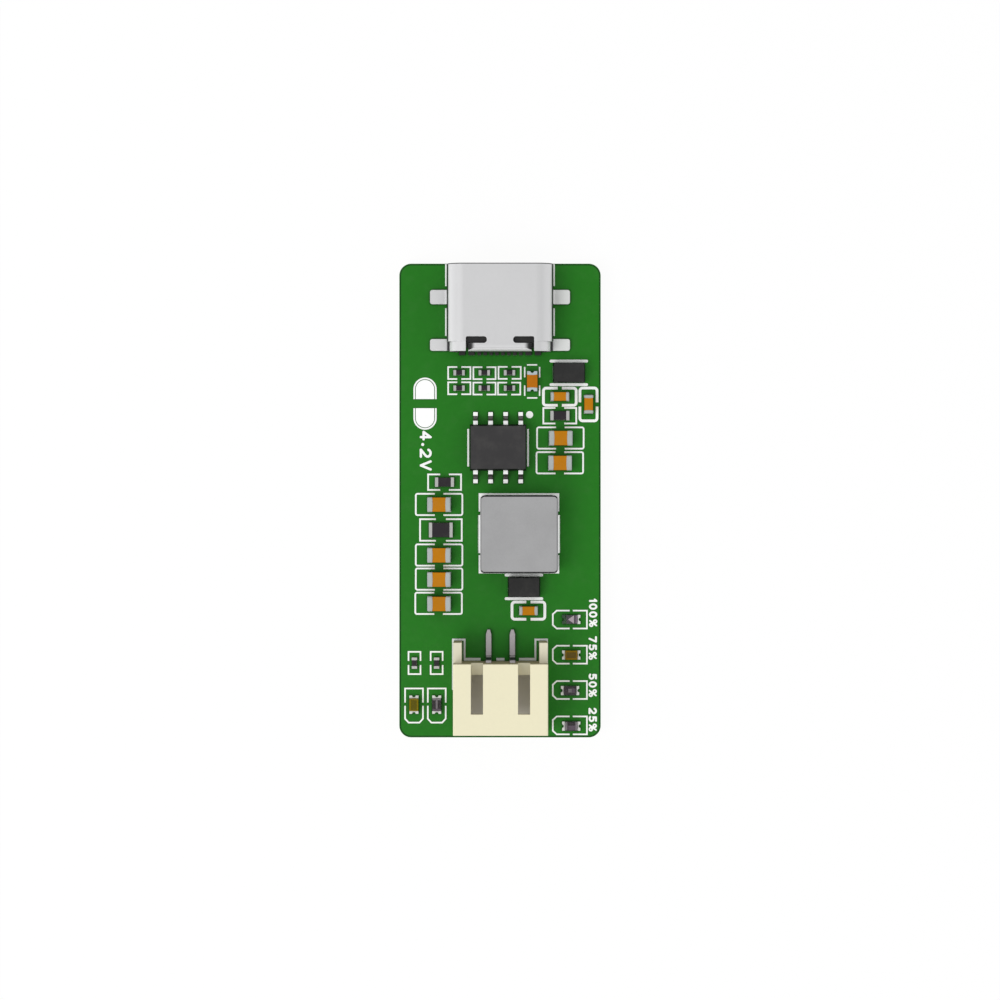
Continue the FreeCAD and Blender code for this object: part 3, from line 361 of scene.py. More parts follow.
@dataclass(frozen=True)
class Finish:
    """Surface of one kind, with its colour and how it takes the light.

    Drift is the range of the grain over which the colour changes, and rough_drift that for the
    roughness, which spreads between two shares of its value.
    """

    name: str
    colour: Colour
    roughness: float = 0.5
    metallic: float = 0.0
    specular: float = 0.5
    tone_spread: float = 0.08
    grain: float = 0.12
    relief: float = 0.002
    edge: float = 0.05
    # Strip along the edges, with its colour and share: wear on most finishes, a painted highlight
    # on the shell and painted shade on the pins.
    wear_and_shading_colour: Colour | None = None
    wear_and_shading: float = 0.35
    dust: float = 0.03
    alpha: float = 1.0
    drift: Point = (0.3, 0.7)
    rough_drift: Point = (0.25, 0.75)
    rough_spread: Point = (0.9, 1.1)

    @cache
    def material(self) -> bpy.types.Material:
        """The finish's material, made the first time it is asked for."""
        made = bpy.data.materials.new(f"{self.name}_finish")
        made.use_nodes = True
        self.build(Graph(made.node_tree))
        return made

    def tint(self, graph: Graph) -> Socket:
        """Colour of the bare surface, before the edge strip and dust."""
        return self.toned(graph, self.colour)

    def surface(self, graph: Graph) -> tuple[Value, Value, Value]:
        """Colour, roughness and metal of the bare surface."""
        ends = (min(1.0, share * self.roughness) for share in self.rough_spread)
        roughness = graph.ramp(graph.grain["Tone"], *self.rough_drift, *ends)
        return self.tint(graph), roughness, self.metallic

    def toned(self, graph: Graph, colour: Colour) -> Socket:
        """A colour that drifts a little with the grain."""
        share = graph.times(graph.plus(graph.grain["Tone"], graph.grain["Broad"]), HALF)
        dark, light = (linear(colour, 1 + sign * self.tone_spread) for sign in (-1, 1))
        return graph.blend(graph.ramp(share, *self.drift), dark, light)

    def build(self, graph: Graph) -> None:
        """Lay out the material's nodes in an empty tree."""
        graph.grain = graph.effect(fine_grain, Scale=1 / (self.grain * MM))
        colour, roughness, metallic = self.surface(graph)
        # Edge strip: wear on most finishes, a painted highlight on the socket's shell and painted
        # shade on the header's pins.
        if self.wear_and_shading_colour:
            edge_mask = graph.effect(edge_strip, Width=self.edge * MM)["Mask"]
            colour = graph.blend(graph.times(edge_mask, self.wear_and_shading), colour, self.wear_and_shading_colour)
        lying = graph.times(graph.effect(settled_dust)["Mask"], self.dust)
        colour = graph.blend(lying, colour, DUST_COLOUR)
        rounded = graph.add("ShaderNodeBevel", {"Radius": self.edge * MM}, samples=EDGE_SAMPLES)
        bump = graph.add("ShaderNodeBump", {
            "Height": graph.grain["Height"], "Distance": self.relief * MM, "Strength": 1.0,
            "Normal": rounded.outputs[0]})
        shader = graph.add("ShaderNodeBsdfPrincipled", {
            "Base Color": colour, "Roughness": roughness, "Metallic": metallic,
            "Specular IOR Level": self.specular, "Alpha": self.alpha,
            "Normal": bump.outputs[0]})
        graph.add("ShaderNodeOutputMaterial", {"Surface": shader.outputs[0]})


@dataclass(frozen=True)
class MaskedBoard(Finish):
    """Glass-fibre sheet with solder mask on its two faces, darker at the edges, and with painted
    shade beside parts.
    """

    sheet_colour: Colour = (196, 186, 132)
    sheet_shade: float = 0.7
    sheet_roughness: float = 0.85
    rim_colour: Colour = (2, 60, 0)
    size: Point = (17.0, 40.0)
    corner: float = 1.0
    rim: float = 0.10
    rim_inset: float = 0.045
    # Reach of the painted shade beside parts.
    foot: float = 0.2
    layer: float = 1.2

    def surface(self, graph: Graph) -> tuple[Value, Value, Value]:
        """Mask on the faces, and layers of fibre where the sheet was cut."""
        faced = graph.above(graph.step("ABSOLUTE", graph.way()["Z"]), HALF)
        rim = graph.effect(outline_strip, Breadth=self.size[0], Length=self.size[1],
                           Corner=self.corner, Inset=self.rim_inset, Width=self.rim)["Mask"]
        # Painted shade: the mask goes darker where parts stand close by, joined with the dark strip
        # at the edges.
        rim_and_shade = graph.most(rim, graph.effect(contact_shade, Distance=self.foot * MM)["Mask"])
        mask = graph.blend(rim_and_shade, self.toned(graph, self.colour), self.rim_colour)
        layers = graph.add("ShaderNodeTexWave", {
            "Vector": graph.own(), "Scale": 1 / (self.layer * MM), "Distortion": 1.5,
            "Detail": 2.0}, bands_direction="Z")
        sheet = graph.blend(layers.outputs[1], self.sheet_colour,
                            linear(self.sheet_colour, self.sheet_shade))
        roughness = graph.ramp(faced, 0.0, 1.0, self.sheet_roughness, self.roughness)
        return graph.blend(faced, sheet, mask), roughness, self.metallic


@dataclass(frozen=True)
class ChipFinish(Finish):
    """Chip with plated ends, and a side colour where its top is coated.

    Body and bow are shares of the chip's length.
    """

    end_colour: Colour = (180, 182, 186)
    end_metallic: float = 0.4
    end_roughness: float = 0.4
    body: float = 0.3
    bow: float = 0.02
    lie: Lie = Lie.ACROSS
    side_colour: Colour | None = None
    bare_end_colour: Colour | None = None

    def surface(self, graph: Graph) -> tuple[Value, Value, Value]:
        """Body in the middle and plating at the ends."""
        part = graph.place()
        along, across = self.lie.ordered((part["X"], part["Y"]))
        ends = graph.effect(plated_ends, Along=along, Across=across, Body=self.body, Bow=self.bow)
        body = self.toned(graph, self.colour)
        if self.side_colour:
            body = graph.blend(graph.above(graph.way()["Z"], HALF), self.side_colour, body)
        plated = ends["High"]
        if self.bare_end_colour:
            body = graph.blend(ends["Low"], body, self.bare_end_colour)
        else:
            plated = graph.most(plated, ends["Low"])
        colour = graph.blend(plated, body, self.toned(graph, self.end_colour))
        roughness = graph.ramp(plated, 0.0, 1.0, self.roughness, self.end_roughness)
        return colour, roughness, graph.times(plated, self.end_metallic)

    def sized(self, length: float, end: float, lie: Lie) -> "ChipFinish":
        """The finish for one size of chip.

        Args:
            length: Length of the chip.
            end: Length of each plated end.
            lie: Way that the chip lies.

        Returns:
            The finish with its own name and its plating in place.
        """
        name = f"{self.name}_{round(length * 100)}_{lie.value}"
        return replace(self, name=name, body=HALF - end / length, lie=lie)


@dataclass(frozen=True)
class SlopedMetal(Finish):
    """Metal that is bright where it lies flat, with painted shade where it is steep.

    Walls that face up by less than lowest are bright too.
    """

    slope_shade_colour: Colour = (30, 44, 34)
    slope: float = 0.55
    flat: float = 0.95
    lowest: float = -1.0

    def tint(self, graph: Graph) -> Socket:
        """Bright flats and painted shade on the slopes."""
        facing = graph.effect(facing_up, Slope=self.slope, Flat=self.flat)
        bright = graph.most(facing["Level"], graph.below(facing["Up"], self.lowest))
        return graph.blend(bright, self.slope_shade_colour, self.toned(graph, self.colour))


@dataclass(frozen=True)
class StampedShell(Finish):
    """Folded sheet of the USB-C socket, with painted highlights on its bends and feet, and painted
    shade down its sides, in its hollows, on its rear wall and at the ends of its flap.

    Places are shares of the node's box, and slopes are parts of the surface's direction.
    """

    # Painted highlight on the bends that curve to the sides and on the rear bend.
    highlight_colour: Colour = (226, 226, 227)
    highlight_tilt: Point = (0.2, 0.9)
    # side_colour is painted shade down the shell's steep sides.
    side_colour: Colour = (14, 18, 14)
    side_slope: Point = (0.50, 0.36)
    side_tilt: float = 0.5
    lowest: float = -0.05
    # Painted shade in the hollows under the bulge and inside the mouth.
    hollow_shade_colour: Colour = (34, 34, 36)
    hollow_height: float = 0.40
    half_bulge: float = 0.378
    front: float = 0.990
    # Painted shade on the rear wall, growing towards its bottom.
    rear_shade_colour: Colour = (70, 72, 70)
    rear_turn: Point = (-0.5, -0.7)
    rear_fade: Point = (0.95, 0.72)
    rear_step: float = 0.112
    rear_slope: float = 0.25
    # Painted light on the feet, brighter on the right where the lamp leaves them in shade.
    left_foot_lit_colour: Colour = (209, 209, 210)
    right_foot_lit_colour: Colour = (219, 221, 219)
    foot_start: float = 0.386
    # Painted shade where the ends of the flap curl away from the light.
    flap_shade_colour: Colour = (16, 16, 17)
    flap_end: tuple[float, float, float] = (0.170, 0.206, 0.230)
    flap_depth: float = 0.09
    flap_height: float = 0.85

    def tint(self, graph: Graph) -> Socket:
        """Bright top, painted highlights on its bends and feet, and painted shade on its sides,
        rear wall, hollows and flap ends.
        """
        part, way = graph.place(), graph.way()
        side, tilt = graph.off_centre(part["X"]), graph.step("ABSOLUTE", way["X"])
        back = graph.ramp(way["Y"], *self.rear_turn)
        open_side = graph.above(way["Z"], self.lowest)
        rear_side = graph.times(graph.below(part["Y"], self.rear_step),
                                graph.above(way["Z"], self.rear_slope))
        under = graph.times(graph.below(side, self.half_bulge),
                            graph.below(part["Z"], self.hollow_height), open_side)
        start, full, end = self.flap_end
        # Layers of painted light: highlights, rear shade, lit feet, side shade, hollow shade and
        # flap shade.
        layers = [
            (graph.most(graph.ramp(tilt, *self.highlight_tilt), back), self.highlight_colour),
            (graph.times(back, graph.ramp(part["Z"], *self.rear_fade)), self.rear_shade_colour),
            (graph.above(side, self.foot_start),
             graph.blend(part["X"], self.left_foot_lit_colour, self.right_foot_lit_colour)),
            (graph.times(graph.ramp(way["Z"], *self.side_slope), graph.above(tilt, self.side_tilt),
                         graph.invert(rear_side), open_side), self.side_colour),
            (graph.most(under, graph.above(part["Y"], self.front)), self.hollow_shade_colour),
            (graph.times(graph.ramp(side, start, full), graph.below(side, end),
                         graph.below(part["Y"], self.flap_depth),
                         graph.above(part["Z"], self.flap_height), graph.invert(back)),
             self.flap_shade_colour)]
        colour = self.toned(graph, self.colour)
        for share, over in layers:
            colour = graph.blend(share, colour, over)
        return colour


@dataclass(frozen=True)
class SlopedMoulding(Finish):
    """Moulding with painted shade on its slopes. Across is how far this goes for slopes that face
    sideways.
    """

    slope_shade_colour: Colour = (8, 8, 9)
    slope: Point = (0.8, 0.95)
    along: float = 0.3
    across: float = 1.0
    lowest: float = -1.0

    def tint(self, graph: Graph) -> Socket:
        """Full colour on the level top and below the slopes, and painted shade on the slopes."""
        facing = graph.effect(facing_up, Slope=self.slope[0], Flat=self.slope[1])
        along = graph.above(graph.step("ABSOLUTE", graph.way()["Y"]), self.along)
        share = graph.times(graph.most(along, self.across), graph.invert(facing["Level"]),
                            graph.above(facing["Up"], self.lowest))
        return graph.blend(share, self.toned(graph, self.colour), self.slope_shade_colour)


@dataclass(frozen=True)
class DeepMoulding(Finish):
    """Pale moulding with painted shade that deepens the lower it lies, and on its rear faces."""

    deep_shade_colour: Colour = (196, 193, 190)
    depth: Point = (0.98, 0.10)
    rear_shade_colour: Colour = (150, 138, 108)

    def tint(self, graph: Graph) -> Socket:
        """Full colour at the top and on the walls, painted shade on the steps, the floor and the
        rear.
        """
        share = graph.times(graph.ramp(graph.place()["Z"], *self.depth),
                            graph.effect(facing_up)["Level"])
        colour = graph.blend(share, self.toned(graph, self.colour), self.deep_shade_colour)
        return graph.blend(graph.above(graph.way()["Y"], HALF), colour, self.rear_shade_colour)


@dataclass(frozen=True)
class ContactMetal(Finish):
    """Contacts that are gilt inside the socket, and dark tin with painted shade where their tails
    come out under the shell.
    """

    shaded_tail_colour: Colour = (40, 38, 38)
    tail_metallic: float = 0.3
    tail_reach: float = 0.3

    def surface(self, graph: Graph) -> tuple[Value, Value, Value]:
        """Dark tails at the rear, in painted shade, and gilt strips at the front."""
        colour, roughness, metallic = super().surface(graph)
        gilt = graph.above(graph.place()["Y"], self.tail_reach)
        return (graph.blend(gilt, self.shaded_tail_colour, colour), roughness,
                graph.ramp(gilt, 0.0, 1.0, self.tail_metallic, metallic))


@dataclass(frozen=True)
class RimmedLens(Finish):
    """Tinted lens that looks brighter in a strip along its outline."""

    rim_colour: Colour = (128, 98, 0)
    size: Point = (1.10, 0.76)
    rim: float = 0.13
    lie: Lie = Lie.ACROSS

    def tint(self, graph: Graph) -> Socket:
        """Tint in the middle, and a brighter strip all round."""
        breadth, length = self.lie.ordered(self.size)
        strip = graph.effect(outline_strip, Breadth=breadth, Length=length, Corner=self.rim,
                             Width=self.rim)["Mask"]
        return graph.blend(strip, self.toned(graph, self.colour), self.rim_colour)


DUST_COLOUR = (176, 172, 162)

SOLDER_MASK = MaskedBoard("solder_mask", (27, 113, 18), roughness=0.42, specular=0.16,
                          tone_spread=0.05, grain=0.5, relief=0.003, edge=0.03, dust=0.015)
PRINT_INK = Finish("print_ink", (250, 252, 250), roughness=0.6, specular=0.3, tone_spread=0.02,
                   grain=0.08, edge=0.008, dust=0.0)
# Print in painted shade, for the lines beside the header.
SHADED_INK = replace(PRINT_INK, name="shaded_ink", colour=(212, 215, 214))
TINNED_PAD = Finish("tinned_pad", (196, 198, 196), roughness=0.34, metallic=0.6, grain=0.2,
                    relief=0.006, edge=0.02)
JUMPER_PAD = Finish("jumper_pad", (250, 251, 250), roughness=0.36, metallic=0.3, tone_spread=0.02,
                    grain=0.25, relief=0.004, edge=0.02, dust=0.0)
# The shell's edge strip is a painted highlight.
SHELL_STEEL = StampedShell("shell_steel", (199, 199, 200), roughness=0.42, metallic=0.3,
                           tone_spread=0.015, grain=0.25, relief=0.001, edge=0.06,
                           wear_and_shading_colour=(224, 224, 224), wear_and_shading=0.5, dust=0.01)
PLATE_STEEL = Finish("plate_steel", (178, 178, 176), roughness=0.36, metallic=0.7,
                     tone_spread=0.02, grain=0.25, relief=0.001, edge=0.02)
BLACK_MOULDING = Finish("black_moulding", (14, 14, 15), specular=0.3, wear_and_shading_colour=(60, 60, 60),
                        wear_and_shading=0.3)
CONTACT_GOLD = ContactMetal("contact_gold", (222, 184, 98), roughness=0.3, metallic=1.0,
                            tone_spread=0.05, edge=0.02)
# The header's housing, with painted shade on its low steps, its floor and its rear faces.
CREAM_MOULDING = DeepMoulding("cream_moulding", (234, 228, 196), roughness=0.55, specular=0.4,
                              tone_spread=0.015, grain=0.25, relief=0.003, edge=0.06,
                              wear_and_shading_colour=(250, 247, 226), wear_and_shading=0.4, dust=0.01)
# Painted shade on the pins' steep bends and in the strip along their edges.
TINNED_PIN = SlopedMetal("tinned_pin", (160, 155, 157), roughness=0.34, metallic=0.5, grain=0.15,
                         slope_shade_colour=(24, 32, 26), slope=0.84, flat=0.88, lowest=0.15,
                         wear_and_shading_colour=(60, 64, 60), wear_and_shading=0.9)
TAB_TIN = Finish("tab_tin", (190, 188, 184), roughness=0.34, metallic=0.6, grain=0.15, edge=0.03,
                 wear_and_shading_colour=(214, 210, 210), wear_and_shading=0.5)
# Painted shade on the inductor's slopes.
INDUCTOR_COMPOSITE = SlopedMoulding("inductor_composite", (160, 160, 161), roughness=0.62,
                                    specular=0.3, tone_spread=0.06, grain=0.09, relief=0.006,
                                    edge=0.03, dust=0.02, slope_shade_colour=(34, 34, 36),
                                    across=0.25, lowest=0.3)
BRIGHT_TIN = Finish("bright_tin", (240, 241, 240), roughness=0.3, metallic=0.5, tone_spread=0.03,
                    edge=0.04, dust=0.0)
# Painted shade on the leads' slopes between foot and shoulder.
CHIP_LEAD = SlopedMetal("chip_lead", (250, 251, 250), roughness=0.32, metallic=0.3,
                        slope_shade_colour=(66, 60, 60), slope=0.86, flat=0.995, tone_spread=0.03,
                        edge=0.03, dust=0.0)
# Painted shade on the chip bodies' slopes.
CHIP_MOULDING = SlopedMoulding("chip_moulding", (52, 51, 52), roughness=0.6, specular=0.2,
                               tone_spread=0.06, grain=0.07, relief=0.005, edge=0.03)
DIODE_MOULDING = replace(CHIP_MOULDING, name="diode_moulding", colour=(37, 37, 37))
RESISTOR = ChipFinish("resistor", (35, 30, 35), roughness=0.4, specular=0.2, grain=0.06, bow=0.0,
                      end_colour=(173, 173, 171), side_colour=(228, 226, 220),
                      wear_and_shading_colour=(150, 146, 148), wear_and_shading=0.1, edge=0.03)
CAPACITOR = ChipFinish("capacitor", (186, 118, 0), specular=0.12, grain=0.09,
                       end_colour=(168, 174, 173), end_metallic=0.3, edge=0.06,
                       wear_and_shading_colour=(200, 150, 80), wear_and_shading=0.15)
FUSE_BODY = replace(CAPACITOR, name="fuse_body", colour=(188, 110, 4), end_colour=(182, 194, 197),
                    edge=0.03)
LAMP_BASE = ChipFinish("lamp_base", (74, 68, 72), roughness=0.45, specular=0.3,
                       end_colour=(214, 216, 212), end_metallic=0.3, bow=-0.03, edge=0.02,
                       dust=0.0)
SMOKE_LENS = Finish("smoke_lens", (86, 80, 84), roughness=0.25, specular=0.2, alpha=0.40,
                    tone_spread=0.05, edge=0.04, wear_and_shading_colour=(84, 84, 84), wear_and_shading=0.5, dust=0.0)
BROWN_LENS = RimmedLens("brown_lens", (94, 76, 28), roughness=0.3, specular=0.1, alpha=0.94,
                        tone_spread=0.05, edge=0.04, dust=0.0)
OLIVE_LENS = replace(BROWN_LENS, name="olive_lens", colour=(92, 84, 12), rim_colour=(124, 108, 0),
                     lie=Lie.ALONG)
CLEAR_LENS = Finish("clear_lens", (120, 120, 124), roughness=0.2, specular=0.15, alpha=0.10,
                    tone_spread=0.03, edge=0.03, dust=0.0)
DIE_GREY = Finish("die_grey", (160, 154, 160), roughness=0.4, edge=0.01, dust=0.0)
DIE_PURPLE = replace(DIE_GREY, name="die_purple", colour=(108, 90, 110))
DIE_DARK = replace(DIE_GREY, name="die_dark", colour=(44, 40, 44), roughness=0.5)
DIE_PALE = replace(DIE_GREY, name="die_pale", colour=(178, 164, 172))


def side_left(way: Vector) -> Vector:
    """Direction to the left of another one."""
    return Vector((-way.y, way.x))


def turn_between(way_in: Vector, way_out: Vector) -> float:
    """Angle from one direction to the next, positive to the left."""
    return math.atan2(way_in.x * way_out.y - way_in.y * way_out.x, way_in.dot(way_out))


def turned(way: Vector, angle: float) -> Vector:
    """A direction turned to the left by an angle."""
    return Matrix.Rotation(angle, 2) @ way


def opposite(points: tuple[Point, ...]) -> tuple[Point, ...]:
    """Points turned half round the middle."""
    return tuple((-x, -y) for x, y in points)


def slab(x_low: float, x_high: float, y_low: float, y_high: float) -> tuple[Point, ...]:
    """Corners of a rectangle."""
    return ((x_low, y_low), (x_high, y_low), (x_high, y_high), (x_low, y_high))


def oval(centre: Point, radii: Point, start: float = 0.0, sweep: float = 360.0,
         steps: int = CURVE_STEPS) -> list[Point]:
    """Points along an ellipse's arc.

    Args:
        centre: Its centre.
        radii: Its two radii.
        start: First angle in degrees.
        sweep: Angle to cover in degrees.
        steps: Number of chords.

    Returns:
        The points, both ends included.
    """
    turns = [math.radians(start + sweep * step / steps) for step in range(steps + 1)]
    return [(centre[0] + radii[0] * math.cos(turn), centre[1] + radii[1] * math.sin(turn))
            for turn in turns]


@dataclass(frozen=True)
class Stroke:
    """Printed line of even width along a path.

    Corners are mitred, or arcs where radius is set, or round outside where rounded is.
    """

    points: tuple[Point, ...]
    width: float
    radius: float = 0.0
    rounded: bool = False

    def path(self) -> list[Vector]:
        """Centre line, with arcs at its corners where there is a radius."""
        points = [Vector(point) for point in self.points]
        if not self.radius:
            return points
        path = [points[0]]
        for before, corner, after in zip(points, points[1:], points[2:]):
            way_in = (corner - before).normalized()
            turn = turn_between(way_in, (after - corner).normalized())
            start = corner - way_in * self.radius * math.tan(abs(turn) / 2)
            spoke = side_left(way_in) * -math.copysign(self.radius, turn)
            path += [start - spoke + turned(spoke, turn * step / ARC_STEPS)
                     for step in range(ARC_STEPS + 1)]
        return path + [points[-1]]

    def side(self, path: list[Vector], shift: float) -> list[Vector]:
        """Line beside the centre line, on one side.

        Args:
            path: The centre line.
            shift: Distance to its left.

        Returns:
            Its points, with an arc outside each corner where the line is rounded.
        """
        ways = [(end - start).normalized() for start, end in zip(path, path[1:])]
        points = [path[0] + side_left(ways[0]) * shift]
        for corner, way_in, way_out in zip(path[1:], ways, ways[1:]):
            left_in = side_left(way_in)
            left_out = side_left(way_out)
            turn = turn_between(way_in, way_out)
            if self.rounded and turn * shift < -LEAST_TURN:
                points += [corner + turned(left_in, turn * step / ARC_STEPS) * shift
                           for step in range(ARC_STEPS + 1)]
            else:
                points.append(corner + (left_in + left_out) * (shift / (1 + left_in.dot(left_out))))
        return points + [path[-1] + side_left(ways[-1]) * shift]

    def cap(self, end: Vector, start_side: Vector) -> list[Vector]:
        """Points round an end, from one side of the line to the other."""
        steps = range(1, ARC_STEPS) if self.rounded else ()
        return [end + turned(start_side, -math.pi * step / ARC_STEPS) for step in steps]

    def loops(self) -> list[list[Vector]]:
        """Closed outline of the line, anticlockwise."""
        path = self.path()
        left = self.side(path, self.width / 2)
        right = self.side(path, -self.width / 2)
        points = left + self.cap(path[-1], left[-1] - path[-1])
        points += right[::-1] + self.cap(path[0], right[0] - path[0])
        return [points[::-1]]


@dataclass(frozen=True)
class Ring:
    """Printed ring of even width round an ellipse."""

    centre: Point
    radii: Point
    width: float

    def loops(self) -> list[list[Point]]:
        """Outer and inner outlines, with as many points each."""
        return [oval(self.centre, (self.radii[0] + shift, self.radii[1] + shift))[:-1]
                for shift in (self.width / 2, -self.width / 2)]


@dataclass(frozen=True)
class Disc:
    """Printed dot or other filled outline."""

    points: tuple[Point, ...]

    @classmethod
    def dot(cls, centre: Point, radius: float) -> "Disc":
        """A round dot."""
        return cls(tuple(oval(centre, (radius, radius))[:-1]))

    def loops(self) -> list[list[Point]]:
        """The outline as it is given, anticlockwise."""
        return [list(self.points)]


Shape = Stroke | Ring | Disc


def moved(point: Point, shift: Point) -> Point:
    """A point moved by a shift."""
    return (point[0] + shift[0], point[1] + shift[1])


def shifted(shape: Shape, place: Point, lie: Lie) -> Shape:
    """Turn a shape as its part lies and move it to its place.

    Args:
        shape: The shape about the part's middle.
        place: The part's middle.
        lie: Way that the part lies.

    Returns:
        The shape in its place.
    """
    if isinstance(shape, Ring):
        centre = moved(lie.turned(shape.centre), place)
        return replace(shape, centre=centre, radii=lie.ordered(shape.radii))
    return replace(shape, points=tuple(moved(lie.turned(point), place) for point in shape.points))


def add_walls(built: bmesh.types.BMesh, loops: list[list[bmesh.types.BMVert]]) -> None:
    """Add the faces between each closed loop of vertices and the next one."""
    for first, second in zip(loops, loops[1:]):
        for index in range(len(first)):
            after = (index + 1) % len(first)
            built.faces.new((first[index], first[after], second[after], second[index]))


def finished_mesh(name: str, built: bmesh.types.BMesh) -> bpy.types.Mesh:
    """A mesh with what was built, which is freed."""
    mesh = bpy.data.meshes.new(name)
    built.to_mesh(mesh)
    built.free()
    return mesh


def prism_mesh(name: str, shapes: list[Shape], low: float, high: float) -> bpy.types.Mesh:
    """Mesh of thin closed prisms, one for each flat shape.

    Args:
        name: The mesh's name.
        shapes: The flat shapes.
        low: Height of the underside.
        high: Height of the top.

    Returns:
        The mesh, in millimetres.
    """
    built = bmesh.new()
    for shape in shapes:
        rims = [[built.verts.new((*point, height)) for point in loop]
                for loop in shape.loops() for height in (low, high)]
        if isinstance(shape, Ring):
            outer_low, outer_high, inner_low, inner_high = rims
            add_walls(built, [outer_low, outer_high, inner_high, inner_low, outer_low])
        else:
            bottom, top = rims
            built.faces.new(top)
            built.faces.new(bottom[::-1])
            add_walls(built, rims)
    return finished_mesh(name, built)


def add_object(name: str, data: bpy.types.ID) -> bpy.types.Object:
    """A new object in the scene."""
    made = bpy.data.objects.new(name, data)
    bpy.context.scene.collection.objects.link(made)
    return made


def joined_mesh(name: str, meshes: list[bpy.types.Mesh]) -> bpy.types.Mesh:
    """Union of overlapping meshes.

    Args:
        name: Name of the union.
        meshes: The closed meshes.

    Returns:
        One clean mesh.
    """
    pieces = [add_object(f"{name}_{index}", mesh) for index, mesh in enumerate(meshes)]
    for other in pieces[1:]:
        join = pieces[0].modifiers.new("join", "BOOLEAN")
        join.operation = "UNION"
        join.solver = "EXACT"
        join.object = other
    graph = bpy.context.evaluated_depsgraph_get()
    joined = bpy.data.meshes.new_from_object(pieces[0].evaluated_get(graph))
    for piece in pieces:
        bpy.data.objects.remove(piece)
    joined.name = name
    return joined


def coat(mesh: bpy.types.Mesh, finish: Finish) -> None:
    """Give a mesh one finish all over."""
    mesh.materials.clear()
    mesh.materials.append(finish.material())


def box_of(node: str) -> tuple[Vector, Vector]:
    """Lowest and highest corner of a CAD node's box, in millimetres."""
    low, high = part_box(node)
    return low / MM, high / MM


def middle_of(node: str) -> Point:
    """Middle of a CAD node's box, seen from above, in millimetres."""
    low, high = box_of(node)
    return tuple((low + high).xy / 2)


INK_HEIGHT = 0.02
INK_ROOT = 0.01
PRINT_SLOT = "print_ink"


def ink_heights() -> Point:
    """Heights of the underside and the top of the print, in millimetres."""
    top = box_of("circuit_board")[1].z
    return top - INK_ROOT, top + INK_HEIGHT


@dataclass
class SubAssembly:
    """Group of parts that are dressed and printed round together. Lengths are in millimetres."""

    name: str
    made: list[str] = field(default_factory=list, init=False)

    def build(self) -> None:
        """Dress the group's nodes and add its pieces."""
        raise NotImplementedError

    def dress(self, finishes: dict[str, Finish]) -> None:
        """Give some of the group's CAD nodes their finishes."""
        for node, finish in finishes.items():
            coat(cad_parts[node].data, finish)
            self.made.append(node)

    def add(self, name: str, mesh: bpy.types.Mesh, finish: Finish, slot: str) -> None:
        """Add a piece that rides on the board.

        Args:
            name: The piece's name.
            mesh: Its mesh, in millimetres.
            finish: Its finish.
            slot: Not used.
        """
        mesh.transform(Matrix.Scale(MM, 4))
        piece = add_object(name, mesh)
        coat(mesh, finish)
        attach(piece, ROOT)
        self.made.append(name)

    def print_shapes(self, name: str, shapes: list[Shape], place: Point = (0.0, 0.0),
                     lie: Lie = Lie.ACROSS, ink: Finish = PRINT_INK) -> None:
        """Print flat shapes on the board as one piece.

        Args:
            name: The piece's name.
            shapes: The shapes, about a part's middle.
            place: The part's middle.
            lie: Way that the part lies.
            ink: Finish of the print.
        """
        placed = [shifted(shape, place, lie) for shape in shapes]
        self.add(name, prism_mesh(name, placed, *ink_heights()), ink, PRINT_SLOT)

    def report(self) -> None:
        """Log what was dressed and made."""
        log.info("%s: %d pieces, %s", self.name, len(self.made), ", ".join(self.made))


def bracket_pair(outer: Point, gap: float, line: float, radius: float = 0.0) -> list[Shape]:
    """Two brackets round a part, about its middle.

    Args:
        outer: Length and width over both brackets.
        gap: Gap between the brackets.
        line: Width of the printed line.
        radius: Outer corner radius.

    Returns:
        The two strokes.
    """
    x, y = ((size - line) / 2 for size in outer)
    right = ((gap / 2, y), (x, y), (x, -y), (gap / 2, -y))
    inner = max(0.0, radius - line / 2)
    return [Stroke(points, line, inner) for points in (right, opposite(right))]


def bars(length: float, spacing: float, line: float, rounded: bool = False) -> list[Shape]:
    """Two level bars above and below a part's middle.

    Args:
        length: Length of each bar.
        spacing: Distance between their centre lines.
        line: Width of the printed line.
        rounded: Whether their ends are round.

    Returns:
        The two strokes.
    """
    half = (length - line) / 2 if rounded else length / 2
    return [Stroke(((-half, y), (half, y)), line, rounded=rounded)
            for y in (spacing / 2, -spacing / 2)]


@dataclass
class CircuitBoard(SubAssembly):
    """The board with its pads and its solder jumper."""

    name: str = "circuit_board"
    line: float = 0.14
    jumper_gap: float = 0.06
    jumper_opening: float = 0.77

    def build(self) -> None:
        """Dress the board and its pads, and print round the jumper."""
        self.dress({"circuit_board": SOLDER_MASK, "solder_pads": TINNED_PAD,
                    "solder_jumper_pads": JUMPER_PAD})
        low, high = box_of("solder_jumper_pads")
        pad = (high.x - low.x) / 2
        radius = pad + self.jumper_gap + self.line / 2
        flat = self.jumper_opening / 2
        arc = oval((0.0, (high.y - low.y) / 2 - pad), (radius, radius), 0.0, 180.0)
        upper = ((radius, flat), *arc, (-radius, flat))
        self.print_shapes("print_jumper",
                          [Stroke(points, self.line) for points in (upper, opposite(upper))],
                          middle_of("solder_jumper_pads"))


